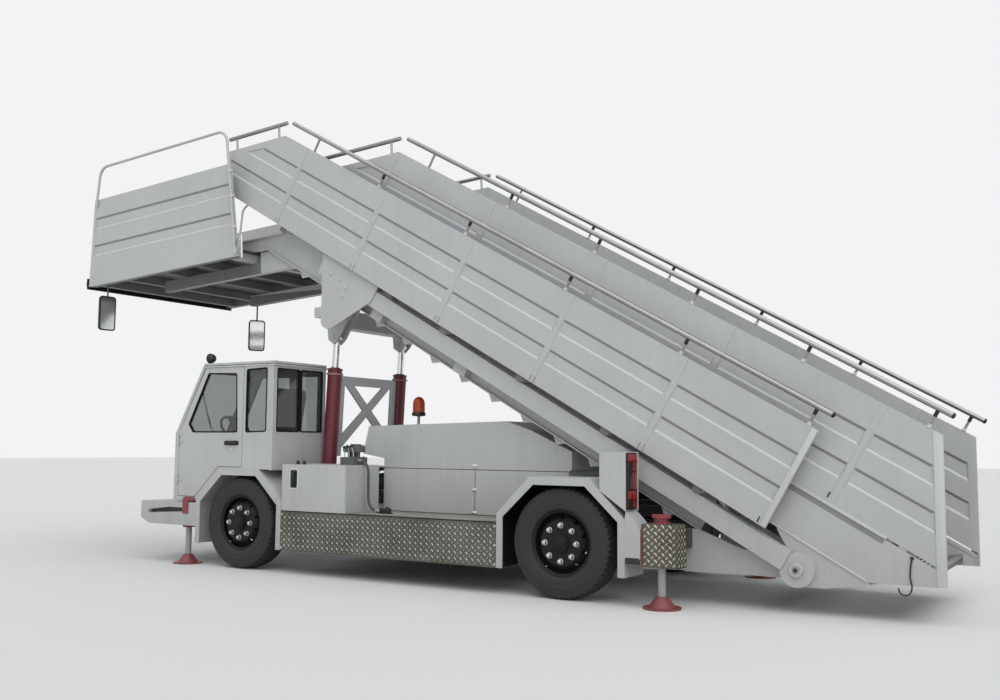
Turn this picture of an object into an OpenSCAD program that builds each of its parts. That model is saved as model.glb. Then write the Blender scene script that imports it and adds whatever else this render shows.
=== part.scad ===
/* [Vehicle] */
// Distance between the front and rear axles
wheelbase = 3450; // [3350:10:3550]
// Half of the width over the bodywork
half_width = 1220; // [1200:5:1250]
// Height of the walk-on deck above the ground
deck_z = 570; // [560:5:580]
// Underside of the side skirts and arches
skirt_z = 210; // [190:5:240]
// Outer radius of a tyre
tyre_r = 430; // [415:5:435]
// Width of a tyre
tyre_w = 250; // [220:10:260]
// Distance of the bumper's front ahead of the front axle
front_overhang = 1350; // [1330:10:1400]

/* [Cab] */
// Distance of the cab's front wall ahead of the front axle
cab_ahead = 880; // [860:10:900]
// Distance of the cab's rear wall behind the front axle
cab_behind = 430; // [425:1:435]
// Height of the cab roof's top
cab_top_z = 1950; // [1930:5:1990]
// Width of the cab
cab_w = 720; // [700:10:740]
// Lower edge of the cab windows
sill_z = 1283; // [1270:1:1300]

/* [Stairs] */
// Slope of the stairs as they stand
slope_deg = 29.4; // [29.2:0.1:29.6]
// Forward tilt of treads and landings as they stand
tread_tilt = 3.6; // [3.2:0.1:4.0]
// Distance between tread noses along the slope
tread_pitch = 367; // [360:1:370]
// Depth of a side panel across the slope
panel_h = 800; // [780:5:810]
// Half of the width over the lower flight
lower_half = 785; // [784:1:786]
// Half of the width over the upper flight's panels
upper_half = 925; // [922:1:930]
// Half of the width over the platform
platform_half = 1055; // [1040:5:1080]
// Length of the platform's side panels
platform_len = 2300; // [2200:10:2350]
// Height of the platform's side panels
platform_h = 960; // [930:5:980]

/* [Hidden] */

// Room between a piece and its seat
seat = 0.3;

// Places along the vehicle that follow the front axle
cab_front_x = wheelbase + cab_ahead;
cab_rear_x = wheelbase - cab_behind;
bumper_x1 = wheelbase + front_overhang;
// Thickness of the cab's walls
wall = 30;

// Lines of the stairs across the slope, measured from the rear axle's point on the ground
lower_nose_n = 1560;
lower_web_lo = 1300;
lower_web_hi = 1620;
lower_panel_n = 1636;
flight_drop = 364;
upper_nose_n = lower_nose_n - flight_drop;
upper_web_lo = 945;
upper_web_hi = 1268;
upper_panel_n = lower_panel_n - flight_drop;
lower_landing_s = 3060;
upper_landing_s = 4400;
lower_steps = 14;
upper_steps = 13;
lower_end_x = -2704;
lower_cut_z = 256;
lower_peak_x = 1940;
lower_front_x = 2950;
upper_end_s = -1030;
upper_web_end_s = -560;
upper_peak_x = 3246;
upper_front_x = 4038;
rail_end_x = -2773;
rail_lift = 145;
rail_r = 20;
post_r = 11;
panel_t = 25;
web_t = 12;
flange = 18;

// Pivot of the stairs at the tail of the chassis
pivot_x = -1720;
pivot_z = 315;
pivot_r = 45;
lug_r = 125;
beam_lo = 1060;
beam_hi = 1210;
beam_start_s = -1250;
beam_in = lower_half;
beam_out = beam_in + 80;
upper_out = lower_half - 50;
upper_in = upper_out - 45;
tail_in = upper_out + 7;
tail_out = tail_in + 20;
heel_in = lower_half - flange + 1;

// Platform frame, forward along the tilted floor and up from the panel's lower edge
plat_x = 3726;
plat_z = 3029;
floor_w = 80;
floor_t = 14;
buffer_t = 35;

// Lift cylinders
cyl_y = 520;
cyl_foot_x = wheelbase - 492;
cyl_foot_z = deck_z - 70;
eye_n = 530.5;
cyl_eye_x = wheelbase - 582;
cyl_eye_z = slz(cyl_eye_x, eye_n);
eye_s = sls(cyl_eye_x, eye_n);
beam_end_s = eye_s + 259;
barrel_r = 70;
barrel_len = 1400;
rod_r = 34;
eye_pin_r = 22;
eye_bore_r = 29;

// Wheels and axles
hub_y = half_width - 23;
tyre_y = half_width - 30 - tyre_w / 2;
rim_r = 248;
bolt_circle_r = 137.5;
kingpin_y = half_width - 320;
axle_z = tyre_r;

// The overall box, which centres the model on its origin
rear_x = rail_end_x - rail_r * sin(slope_deg);
front_x = plat_x + (platform_len + buffer_t - 6) * cos(tread_tilt) + (floor_w + floor_t) * sin(tread_tilt);
shift_x = (front_x + rear_x) / 2;

// A point of the slope, s up along it and n square to it
function sl(s, n) = [s * cos(slope_deg) - n * sin(slope_deg), s * sin(slope_deg) + n * cos(slope_deg)];
// Height on the slope line n above the point x
function slz(x, n) = (n + x * sin(slope_deg)) / cos(slope_deg);
// Place s along the slope line n above the point x
function sls(x, n) = (x + n * sin(slope_deg)) / cos(slope_deg);
// A point of a level part that starts at o, u forward and w up
function lv(o, u, w) = [o[0] + u * cos(tread_tilt) + w * sin(tread_tilt),
    o[1] - u * sin(tread_tilt) + w * cos(tread_tilt)];
plat_o = [plat_x, plat_z];
function pl(u, w) = lv(plat_o, u, w);

// A side view outline, extruded across the vehicle from y0 to y1
module slab(pts, y0, y1) {
    translate([0, y1, 0]) rotate([90, 0, 0]) linear_extrude(y1 - y0) polygon(pts);
}
// The same on both sides of the centre line
module both(pts, y0, y1) {
    slab(pts, y0, y1);
    slab(pts, -y1, -y0);
}
// A box from one corner to the other
module block(a, b) {
    translate(a) cube([b[0] - a[0], b[1] - a[1], b[2] - a[2]]);
}
module block_both(a, b) {
    block(a, b);
    block([a[0], -b[1], a[2]], [b[0], -a[1], b[2]]);
}
// A round bar between two points, in the plane at y
module bar(p, q, y, r) {
    d = [q[0] - p[0], q[1] - p[1]];
    translate([p[0], y, p[1]]) rotate([0, atan2(d[0], d[1]), 0]) cylinder(r = r, h = norm(d), $fn = 24);
}
// A round tube along the points pts, with bends of radius bend, in the plane at y
module tube(pts, y, r, bend) {
    last = len(pts) - 1;
    ways = [for (k = [0 : last - 1]) (pts[k + 1] - pts[k]) / norm(pts[k + 1] - pts[k])];
    turns = [for (k = [1 : last - 1]) atan2(ways[k - 1][0] * ways[k][1] - ways[k - 1][1] * ways[k][0],
        ways[k - 1] * ways[k])];
    cuts = [0, for (t = turns) bend * tan(abs(t) / 2), 0];
    for (k = [0 : last - 1])
        bar(pts[k] + ways[k] * (cuts[k] - (k > 0 ? 3 : 0)),
            pts[k + 1] - ways[k] * (cuts[k + 1] - (k < last - 1 ? 3 : 0)), y, r);
    for (k = [1 : last - 1]) {
        side = sign(turns[k - 1]);
        from = pts[k] - ways[k - 1] * cuts[k];
        mid = from + side * bend * [-ways[k - 1][1], ways[k - 1][0]];
        first = (side > 0 ? from : pts[k] + ways[k] * cuts[k]) - mid;
        translate([mid[0], y, mid[1]]) rotate([90, 0, 0]) rotate([0, 0, atan2(first[1], first[0])])
            rotate_extrude(angle = abs(turns[k - 1]), $fn = 48)
                translate([bend, 0]) circle(r = r + 0.6, $fn = 24);
    }
}
// A round bar across the vehicle at x, z
module cross_bar(x, z, y0, y1, r) {
    translate([x, y1, z]) rotate([90, 0, 0]) cylinder(r = r, h = y1 - y0, $fn = 48);
}
module sides() {
    children();
    mirror([0, 1, 0]) children();
}
module placed() {
    translate([-shift_x, 0, 0]) children();
}

// Outline of an octagonal wheel arch, inside or outside, about its wheel at x
arch_top_in = [226, 873];
arch_knee_in = [503, 615];
arch_top_out = [263, 935];
arch_knee_out = [560, 637];
function arch_in(x) = [[x - arch_knee_in[0], skirt_z - 10], [x - arch_knee_in[0], arch_knee_in[1]],
    [x - arch_top_in[0], arch_top_in[1]], [x + arch_top_in[0], arch_top_in[1]],
    [x + arch_knee_in[0], arch_knee_in[1]], [x + arch_knee_in[0], skirt_z - 10]];
function arch_out(x) = [[x - arch_knee_out[0], skirt_z], [x - arch_knee_out[0], arch_knee_out[1]],
    [x - arch_top_out[0], arch_top_out[1]], [x + arch_top_out[0], arch_top_out[1]],
    [x + arch_knee_out[0], arch_knee_out[1]], [x + arch_knee_out[0], skirt_z]];

arch_depth = 330;
arch_t = 6;
module arch(x) {
    difference() {
        slab(arch_out(x), half_width - 8, half_width);
        slab(arch_in(x), half_width - 10, half_width + 2);
    }
    difference() {
        slab(arch_out(x), half_width - arch_depth, half_width - 8);
        translate([0, 0, -arch_t]) slab([for (p = arch_out(x)) [x + (p[0] - x) * 0.985, p[1]]],
            half_width - arch_depth - 2, half_width);
    }
}

// Longitudinal rails with the humps over the axles
rail_y = 350;
rail_w = 80;
hump = 520;
rail_lo = 330;
rail_hi = deck_z - 6;
hump_lo = 610;
hump_hi = 700;
rail_tail = -640;
rail_nose = cab_front_x - wall;
jack_front_x = rail_nose - 100;
function rail_line() = [[rail_tail, 400], [-hump, 400], [-hump + 60, hump_lo], [hump - 60, hump_lo],
    [hump, rail_lo], [wheelbase - hump, rail_lo], [wheelbase - hump + 60, hump_lo],
    [wheelbase + hump - 60, hump_lo], [wheelbase + hump, 420], [rail_nose, 420],
    [rail_nose, rail_hi], [wheelbase + hump + 40, rail_hi], [wheelbase + hump - 60, hump_hi],
    [wheelbase - hump + 40, hump_hi], [wheelbase - hump - 40, rail_hi], [hump + 40, rail_hi],
    [hump - 40, hump_hi], [-hump + 40, hump_hi], [-hump - 60, rail_hi], [rail_tail, rail_hi]];

// Cross members: place, lower edge, upper edge, width along the vehicle
cross_rows = [[rail_tail + 40, 420, 540, 80], [700, 360, 480, 80], [wheelbase - 1550, 360, 480, 80],
    [wheelbase - 670, 340, 500, 120], [jack_front_x, 430, 540, 80]];

tail_tip_x = -2250;
tail_lo = 245;
function tail_line() = [[rail_tail + 60, tail_lo], [tail_tip_x, tail_lo], [tail_tip_x + 90, tail_lo + 70],
    [pivot_x - 110, pivot_z + 85], [pivot_x + 60, pivot_z + 110], [-1300, 430], [-960, 560],
    [rail_tail + 60, 560]];
module chassis_frame() {
    color("dimgray") placed() {
        both(rail_line(), rail_y, rail_y + rail_w);
        for (r = cross_rows)
            block([r[0] - r[3] / 2, -rail_y, r[1]], [r[0] + r[3] / 2, rail_y, r[2]]);
        block_both([rail_tail - 20, rail_y, 420], [rail_tail + 60, tail_in - seat, 540]);
        sides() difference() {
            slab(tail_line(), tail_in, tail_out);
            cross_bar(pivot_x, pivot_z, tail_in - 2, tail_out + 2, pivot_r + 0.5);
        }
        cross_bar(tail_tip_x + 190, 285, -tail_in + seat, tail_in - seat, 30);
        sides() cylinder_foot();
    }
}
foot_pin_r = 25;
foot_gap = 62;
module cylinder_foot() {
    for (y = [cyl_y - foot_gap - 20, cyl_y + foot_gap])
        difference() {
            slab([[cyl_foot_x - 90, cyl_foot_z - 100], [cyl_foot_x + 90, cyl_foot_z - 100],
                [cyl_foot_x + 50, cyl_foot_z + 50], [cyl_foot_x - 50, cyl_foot_z + 50]], y, y + 20);
            cross_bar(cyl_foot_x, cyl_foot_z, y - 1, y + 21, foot_pin_r + 0.3);
        }
    block([cyl_foot_x - 90, rail_y + rail_w - 1, cyl_foot_z - 120],
        [cyl_foot_x + 90, cyl_y + foot_gap + 20, cyl_foot_z - 98]);
}

bumper_x0 = wheelbase + 561;
bumper_lo = 375;
bumper_top = deck_z + 30;
bumper_t = 12;
bumper_side_w = 60;
tow_x = bumper_x1 - 70;
tow_z = bumper_top - 130;
tow_r = 20;
tow_plate_t = 30;
// Outline of the recess in each of the bumper's sides, back from its front and down from its top
recess = [[-600, -95], [-110, -122], [-110, -88], [-400, -55], [-600, -55]];
recess_depth = 45;
function bumper_line(x0) = [[x0, bumper_lo], [bumper_x1 - 120, bumper_lo], [bumper_x1, bumper_lo + 55],
    [bumper_x1, bumper_top - 5], [x0, bumper_top]];
module front_bumper() {
    skin_y = half_width - bumper_side_w;
    color("whitesmoke") placed() {
        difference() {
            union() {
                slab(bumper_line(rail_nose + seat), -skin_y, skin_y);
                sides() slab(bumper_line(bumper_x0), skin_y, half_width);
            }
            block([rail_nose + seat + bumper_t, -skin_y + bumper_t, bumper_lo - 10],
                [bumper_x1 - bumper_t, skin_y - bumper_t, bumper_top - bumper_t]);
            cross_bar_z(tow_x, 0, tow_z + tow_plate_t, bumper_top + 1, 60);
            sides() cross_bar_z(jack_front_x, jack_y, bumper_lo - 10, bumper_top + 1, leg_r + 18.3);
            sides() slab([for (p = recess) [bumper_x1 + p[0], bumper_top + p[1]]],
                half_width - recess_depth, half_width + 1);
        }
        difference() {
            block([bumper_x1 - 130, -80, tow_z], [bumper_x1 - bumper_t + 1, 80, tow_z + tow_plate_t]);
            cross_bar_z(tow_x, 0, tow_z - 10, tow_z + tow_plate_t + 10, tow_r);
        }
    }
}
module cross_bar_z(x, y, z0, z1, r) {
    translate([x, y, z0]) cylinder(r = r, h = z1 - z0, $fn = 48);
}

leaf_t = 12;
leaf_w = 70;
// Leaves of a spring: half length and number down from the top
leaf_rows = [[468, 0], [350, 1], [210, 2]];
spring_top = axle_z + 60 + 3 * leaf_t;
module springs(x) {
    for (r = leaf_rows)
        block_both([x - r[0], rail_y - 1, spring_top - (r[1] + 1) * leaf_t],
            [x + r[0], rail_y - 1 + leaf_w, spring_top - r[1] * leaf_t]);
    for (e = [-1, 1])
        block_both([x + e * leaf_rows[0][0] - 22, rail_y - 12, spring_top - leaf_t],
            [x + e * leaf_rows[0][0] + 22, rail_y - seat, hump_lo + 60]);
}
module front_axle() {
    color("dimgray") placed() {
        block([wheelbase - 45, -kingpin_y + 40, axle_z - 60], [wheelbase + 45, kingpin_y - 40, axle_z + 60]);
        springs(wheelbase);
        sides() difference() {
            translate([wheelbase, kingpin_y, axle_z - 60]) cylinder(r = 50, h = 120, $fn = 48);
            translate([wheelbase, kingpin_y, axle_z - 61]) cylinder(r = 20.3, h = 122, $fn = 48);
        }
    }
}
hub_r = 90;
module rear_axle() {
    color("dimgray") placed() {
        cross_bar(0, axle_z, -tyre_y + 40, tyre_y - 40, 60);
        translate([0, 0, axle_z]) sphere(r = 150, $fn = 32);
        springs(0);
        sides() cross_bar(0, axle_z, tyre_y - 60, tyre_y - 30, 150);
        sides() cross_bar(0, axle_z, tyre_y - 31, hub_y - 60, 40);
    }
}
knuckle_gap = 6;
module knuckle() {
    translate([wheelbase, kingpin_y, 0]) {
        translate([0, 0, axle_z - 100]) cylinder(r = 20, h = 200, $fn = 48);
        for (z = [axle_z - 100, axle_z + 60 + knuckle_gap])
            translate([0, 0, z]) cylinder(r = 45, h = 40 - knuckle_gap, $fn = 48);
    }
    block([wheelbase - 40, kingpin_y + 10, axle_z - 100],
        [wheelbase + 40, kingpin_y + 75, axle_z - 60 - knuckle_gap]);
    block([wheelbase - 40, kingpin_y + 10, axle_z + 60 + knuckle_gap],
        [wheelbase + 40, kingpin_y + 75, axle_z + 100]);
    block([wheelbase - 60, kingpin_y + 55, axle_z - 100], [wheelbase + 60, kingpin_y + 75, axle_z + 100]);
    cross_bar(wheelbase, axle_z, kingpin_y + 70, hub_y - 60, 40);
    block([wheelbase - 180, kingpin_y + 20, axle_z - 100], [wheelbase - 30, kingpin_y + 50, axle_z - 76]);
}
module knuckle_left() {
    color("dimgray") placed() knuckle();
}
module knuckle_right() {
    color("dimgray") placed() mirror([0, 1, 0]) knuckle();
}

// A tyre about its own axis, in section
shoulder = 38;
function tyre_flank(e) = [[rim_r + 2, e * (tyre_w / 2 - 32.4)], [rim_r + 12.4, e * (tyre_w / 2 - 24.4)],
    [rim_r + 12.4, e * (tyre_w / 2 - 14)], [rim_r + 40, e * tyre_w / 2], [tyre_r - shoulder, e * tyre_w / 2],
    [tyre_r - 8, e * (tyre_w / 2 - 30)], [tyre_r, e * tyre_w / 4]];
module tyre() {
    flank = tyre_flank(1);
    rotate([90, 0, 0]) rotate_extrude($fn = 72)
        polygon([each tyre_flank(-1), for (k = [0 : len(flank) - 1]) flank[len(flank) - 1 - k]]);
}
// A disc wheel about its own axis, with its outer face at +y
disc_y = hub_y - tyre_y;
hole_r = 14;
holes = 10;
studs = 8;
nut_r = 15;
module rim() {
    half = tyre_w / 2;
    difference() {
        rotate([90, 0, 0]) rotate_extrude($fn = 72)
            polygon([[40.4, -disc_y + 60], [40.4, -disc_y + 22], [175, -disc_y + 22], [215, -disc_y + 80],
                [rim_r - 14, -disc_y + 90], [rim_r - 14, -half + 30], [rim_r + 12, -half + 16],
                [rim_r + 12, -half + 24], [rim_r + 1.7, -half + 32], [rim_r + 1.7, half - 32],
                [rim_r + 12, half - 24], [rim_r + 12, half - 16], [rim_r - 14, half - 30],
                [rim_r - 14, -disc_y + 110], [205, -disc_y + 98], [165, -disc_y + 38], [90, -disc_y + 38],
                [90, -disc_y + 60]]);
        for (k = [0 : holes - 1])
            rotate([0, (k + 0.5) * 360 / holes, 0]) translate([195, 0, 0])
                rotate([90, 0, 0]) cylinder(r = hole_r, h = tyre_w, center = true, $fn = 24);
    }
    for (k = [0 : studs - 1])
        rotate([0, k * 360 / studs, 0]) translate([bolt_circle_r, disc_y - 24, 0])
            rotate([-90, 0, 0]) cylinder(r = nut_r, h = 24, $fn = 6);
    translate([0, disc_y - 30, 0]) rotate([-90, 0, 0]) cylinder(r = 70, h = 28, $fn = 48);
}
module wheel_at(x, side) {
    placed() translate([x, side * tyre_y, axle_z]) mirror([0, side < 0 ? 1 : 0, 0]) children();
}
module tyre_front_left() { color("black") wheel_at(wheelbase, 1) tyre(); }
module tyre_front_right() { color("black") wheel_at(wheelbase, -1) tyre(); }
module tyre_rear_left() { color("black") wheel_at(0, 1) tyre(); }
module tyre_rear_right() { color("black") wheel_at(0, -1) tyre(); }
module rim_front_left() { color("dimgray") wheel_at(wheelbase, 1) rim(); }
module rim_front_right() { color("dimgray") wheel_at(wheelbase, -1) rim(); }
module rim_rear_left() { color("dimgray") wheel_at(0, 1) rim(); }
module rim_rear_right() { color("dimgray") wheel_at(0, -1) rim(); }

hood_half = 655;
hood_t = 4;
hood_x0 = 180;
hood_x1 = wheelbase - 1115;
hood_top = 1385;
hood_front_top = 1348;
// The hood's front foot lies back under its nose
hood_foot_x = hood_x1 - 190;
seam_z = 965;
engine_x0 = 800;
engine_x1 = hood_foot_x - 245;
engine_half = 300;
engine_top = 1150;
module engine_block() {
    color("gray") placed() block([engine_x0, -engine_half, 480.5], [engine_x1, engine_half, engine_top]);
}
function hood_line(t) = [[hood_x0 + 30 + t, seam_z - 390], [hood_x0 + 30 + t, seam_z],
    [hood_x0 + t, seam_z + 15], [hood_x0 + t, 1130 - t], [580 + t / 2, 1308 - t], [830, hood_top - t],
    [hood_x1 - t, hood_front_top - t], [hood_x1 + 65 - t, 1090 + t], [hood_foot_x - t, 1050],
    [hood_foot_x - t, deck_z + 5]];
module engine_hood() {
    color("whitesmoke") placed() difference() {
        slab(hood_line(0), -hood_half, hood_half);
        translate([0, 0, -0.5]) slab(hood_line(hood_t), -hood_half + hood_t, hood_half - hood_t);
        block_both([hood_x0, rail_y - 20, deck_z - 10], [hump + 60, rail_y + rail_w + 5, hump_hi + seat]);
    }
}
module front_fenders() {
    color("whitesmoke") placed() sides() arch(wheelbase);
}
post_x0 = -570;
post_x1 = -354;
post_top = 1136;
corner_x = -686;
corner_lo = 350;
sheet = 4;
module rear_bodywork() {
    post_in = half_width - 230;
    corner_in = half_width - 200;
    color("whitesmoke") placed() sides() {
        arch(0);
        difference() {
            slab([[post_x0, arch_knee_out[1] + 60], [post_x1, arch_top_out[1] - 90], [post_x1, post_top],
                [post_x0, post_top]], post_in, half_width);
            slab([[post_x0 + sheet, arch_knee_out[1] + 90], [post_x1 - sheet, arch_top_out[1] - 60],
                [post_x1 - sheet, post_top - sheet], [post_x0 + sheet, post_top - sheet]],
                post_in + sheet, half_width - sheet);
        }
        difference() {
            slab([[corner_x, corner_lo], [-arch_knee_out[0] - seat, corner_lo],
                [-arch_knee_out[0] - seat, arch_knee_out[1] + 1], [post_x0, arch_knee_out[1] + 59],
                [corner_x + 60, deck_z + 70], [corner_x, deck_z]], corner_in, half_width);
            slab([[corner_x + sheet, corner_lo - 10], [-arch_knee_out[0] - 6, corner_lo - 10],
                [-arch_knee_out[0] - 6, deck_z + 30], [corner_x + 30, deck_z + 30],
                [corner_x + sheet, deck_z - 10]], corner_in + sheet, half_width - sheet);
        }
    }
}
skirt_top = 562;
module side_skirts() {
    color("silver") placed() block_both([arch_knee_out[0] + 0.5, half_width - 5, skirt_z],
        [wheelbase - arch_knee_out[0] - 0.5, half_width, skirt_top]);
}
box_x0 = wheelbase - 1320;
box_x1 = wheelbase - 565;
box_top = deck_z + 420;
box_in = cyl_y + 230;
// Grip slot in the side box: place back from its front end, height of its middle, half length, half width
grip = [148, 858, 66, 18];
module side_boxes() {
    color("whitesmoke") placed() sides() difference() {
        block([box_x0, box_in, deck_z + seat], [box_x1, half_width - 2, box_top]);
        block([box_x0 + 4, box_in + 4, deck_z + 4], [box_x1 - 4, half_width - 6, box_top - 4]);
        translate([box_x1 - grip[0], half_width - 10, grip[1]]) {
            translate([-grip[3], 0, -grip[2]]) cube([2 * grip[3], 20, 2 * grip[2]]);
            for (e = [-1, 1])
                translate([0, 20, e * grip[2]]) rotate([90, 0, 0]) cylinder(r = grip[3], h = 20, $fn = 32);
        }
    }
}
module deck_plates() {
    x0 = hump + 42;
    x1 = wheelbase - arch_knee_out[0] - 1;
    color("silver") placed() difference() {
        union() {
            block([x0, -half_width + 6, deck_z - 5], [x1, half_width - 6, deck_z]);
            sides() block([x0, half_width - 40, skirt_top - 40], [x1, half_width - 5.5, deck_z - 5]);
        }
        block([engine_x0 - 60, -engine_half - 40, deck_z - 20],
            [engine_x1 + 60, engine_half + 40, deck_z + 20]);
        sides() block([cyl_foot_x - 258, cyl_y - 130, deck_z - 20],
            [cyl_foot_x + 62, cyl_y + 130, deck_z + 20]);
    }
}

// Cab outline seen from the side
cab_in = half_width - cab_w;
cab_floor_z = 940;
cab_leg_y = half_width - 480;
well_y = half_width - 160;
well_z = 655;
step_x = wheelbase + 560;
rake_x = cab_front_x - 376;
cowl_z = 1270;
door_x0 = wheelbase - 40;
door_x1 = cab_front_x - 60;
door_z = well_z + 5;
function door_line(g) = [[door_x0 - g, cab_floor_z + 15 - g], [wheelbase + 275 - g, cab_floor_z + 15 - g],
    [step_x + 25 - g, door_z - g], [door_x1 + g, door_z - g], [door_x1 + g, cowl_z + 10],
    [rake_x - 30 + g, cab_top_z - 45 + g], [door_x0 - g, cab_top_z - 45 + g]];
door_window = [[cab_front_x - 246, sill_z], [cab_front_x - 186, sill_z + 78], [rake_x - 68, cab_top_z - 98],
    [door_x0 + 93, cab_top_z - 109], [door_x0 + 69, sill_z]];
quarter_window = [[cab_rear_x + 85, sill_z + 7], [door_x0 - 45, sill_z], [door_x0 - 42, cab_top_z - 75],
    [cab_rear_x + 85, cab_top_z - 65]];
inner_top_z = cab_top_z - 100;
inner_window = [[cab_front_x - 240, sill_z + 7], [cab_front_x - 200, sill_z + 82], [rake_x - 74, inner_top_z],
    [door_x0 + 70, inner_top_z], [door_x0 + 70, sill_z + 7]];
inner_rear_window = [[cab_rear_x + 85, sill_z + 7], [door_x0 - 10, sill_z + 7], [door_x0 - 10, inner_top_z],
    [cab_rear_x + 85, inner_top_z]];
windscreen_line = [[cab_front_x + 40, cowl_z + 45], [rake_x + 90, cab_top_z - 55],
    [rake_x - 60, cab_top_z - 130], [cab_front_x - 110, cowl_z - 30]];
floor_y = half_width - wall - 12;
module cab_floor() {
    color("gray") placed() {
        block([cab_rear_x + wall, cab_in + wall, cab_floor_z], [step_x + 4, floor_y, cab_floor_z + 8]);
        block([step_x, cab_in + wall, well_z + 8], [step_x + 8, well_y, cab_floor_z]);
        block([step_x, cab_in + wall, well_z], [cab_front_x - wall - 1, well_y, well_z + 8]);
        block([step_x + 8, well_y - 8, well_z + 8], [cab_front_x - wall - 1, well_y, cab_floor_z]);
        block([step_x + 4, well_y - 8, cab_floor_z], [cab_front_x - wall - 1, floor_y, cab_floor_z + 8]);
        for (x = [cab_rear_x + 60, step_x - 180])
            block([x, rail_y + 10, hump_hi], [x + 70, cab_leg_y, cab_floor_z]);
    }
}
module cab_front() {
    color("whitesmoke") placed() difference() {
        slab([[cab_front_x - wall, well_z - 40], [cab_front_x, well_z - 40], [cab_front_x, cowl_z],
            [rake_x, cab_top_z], [rake_x - wall * 1.15, cab_top_z], [cab_front_x - wall, cowl_z - 8]],
            cab_in, half_width);
        slab(windscreen_line, cab_in + 60, half_width - 60);
    }
}
// Panes of the rear wall: from y to y, beside the cab's inner side
rear_panes = [[50, 345], [375, cab_w - 50]];
module rear_pane(r, x0, x1) {
    block([x0, cab_in + r[0], sill_z + 7], [x1, cab_in + r[1], cab_top_z - 70]);
}
module cab_rear() {
    color("whitesmoke") placed() difference() {
        block([cab_rear_x, cab_in, cab_floor_z - 10], [cab_rear_x + wall, half_width, cab_top_z - 30.3]);
        for (r = rear_panes)
            rear_pane(r, cab_rear_x - 1, cab_rear_x + wall + 1);
    }
}
module cab_roof() {
    color("whitesmoke") placed() slab([[cab_rear_x - 5, cab_top_z - 30], [rake_x - 36, cab_top_z - 30],
        [rake_x - 36, cab_top_z], [cab_rear_x - 5, cab_top_z]], cab_in, half_width);
}
module cab_side_outer() {
    color("whitesmoke") placed() {
        for (z = hinge_rows)
            for (e = [-1, 1])
                hinge_half(z + e * (hinge_h + 0.6), cab_front_x - wall - 1);
        side_panel();
    }
}
module side_panel() {
    difference() {
        slab([[cab_rear_x + wall + seat, arch_top_out[1] + 0.5],
            [wheelbase + arch_top_out[0] + 0.5, arch_top_out[1] + 0.5],
            [wheelbase + arch_knee_out[0] + 0.5, arch_knee_out[1]],
            [cab_front_x - wall - seat, arch_knee_out[1] - 20], [cab_front_x - wall - seat, cowl_z - 8],
            [rake_x - wall * 1.15 - seat, cab_top_z - 30.3], [cab_rear_x + wall + seat, cab_top_z - 30.3]],
            half_width - wall, half_width);
        slab(door_line(5), half_width - wall - 1, half_width + 1);
        slab(quarter_window, half_width - wall - 1, half_width + 1);
    }
}
// Half of a door hinge: a leaf on the face and a knuckle on the hinge's line
hinge_x = door_x1 + 9;
hinge_y = half_width + 11;
hinge_r = 9;
hinge_h = 30;
hinge_rows = [820, 1200];
module hinge_half(z, end_x) {
    lo = z - hinge_h / 2;
    hi = z + hinge_h / 2;
    block([min(hinge_x, end_x), half_width, lo], [max(hinge_x, end_x), half_width + 5, hi]);
    translate([hinge_x, hinge_y, lo]) cylinder(r = hinge_r, h = hinge_h, $fn = 32);
    block([hinge_x - 5, half_width + 3, lo], [hinge_x + 5, hinge_y, hi]);
}
module cab_side_inner() {
    color("whitesmoke") placed() difference() {
        slab([[cab_rear_x + wall + 0.3, cab_floor_z + seat], [step_x, cab_floor_z + seat], [step_x, well_z],
            [cab_front_x - wall - 0.3, well_z], [cab_front_x - wall - 0.3, cowl_z - 8],
            [rake_x - wall * 1.15 - 0.3, cab_top_z - 30.3], [cab_rear_x + wall + 0.3, cab_top_z - 30.3]],
            cab_in, cab_in + wall - 0.3);
        slab(inner_window, cab_in - 1, cab_in + wall);
        slab(inner_rear_window, cab_in - 1, cab_in + wall);
    }
}
pane = 5;
module cab_glazing() {
    color("lightblue", 0.4) placed() {
        slab(quarter_window, half_width - wall / 2 - pane, half_width - wall / 2);
        for (r = rear_panes)
            rear_pane(r, cab_rear_x + 12, cab_rear_x + 12 + pane);
        slab(inner_window, cab_in + 12, cab_in + 12 + pane);
        slab(inner_rear_window, cab_in + 12, cab_in + 12 + pane);
        windscreen();
    }
}
module windscreen() {
    intersection() {
        slab([[cab_front_x - 14, cowl_z], [rake_x - 14, cab_top_z], [rake_x - 21, cab_top_z],
            [cab_front_x - 21, cowl_z]], cab_in + 60, half_width - 60);
        slab(windscreen_line, cab_in + 60, half_width - 60);
    }
}
handle_z = 1178;
module cab_door() {
    color("whitesmoke") placed() {
        difference() {
            slab(door_line(0), half_width - wall, half_width);
            slab(door_window, half_width - wall - 1, half_width + 1);
        }
        block([door_x0 + 51, half_width, handle_z - 14], [door_x0 + 225, half_width + 14, handle_z + 14]);
        for (z = hinge_rows)
            hinge_half(z, door_x1 - 60);
    }
}
module door_glass() {
    color("lightblue", 0.4) placed() slab(door_window, half_width - wall / 2 - pane, half_width - wall / 2);
}
seat_x = wheelbase - 250;
seat_y = cab_in + 330;
module driver_seat() {
    color("black") placed() {
        block([seat_x + 60, seat_y - 150, cab_floor_z + 8], [seat_x + 360, seat_y + 150, cab_floor_z + 120]);
        block([seat_x, seat_y - 220, cab_floor_z + 120], [seat_x + 460, seat_y + 220, cab_floor_z + 230]);
        slab([[seat_x, cab_floor_z + 229], [seat_x + 110, cab_floor_z + 229],
            [seat_x + 20, cab_floor_z + 760], [seat_x - 70, cab_floor_z + 760]], seat_y - 210, seat_y + 210);
    }
}
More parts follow.
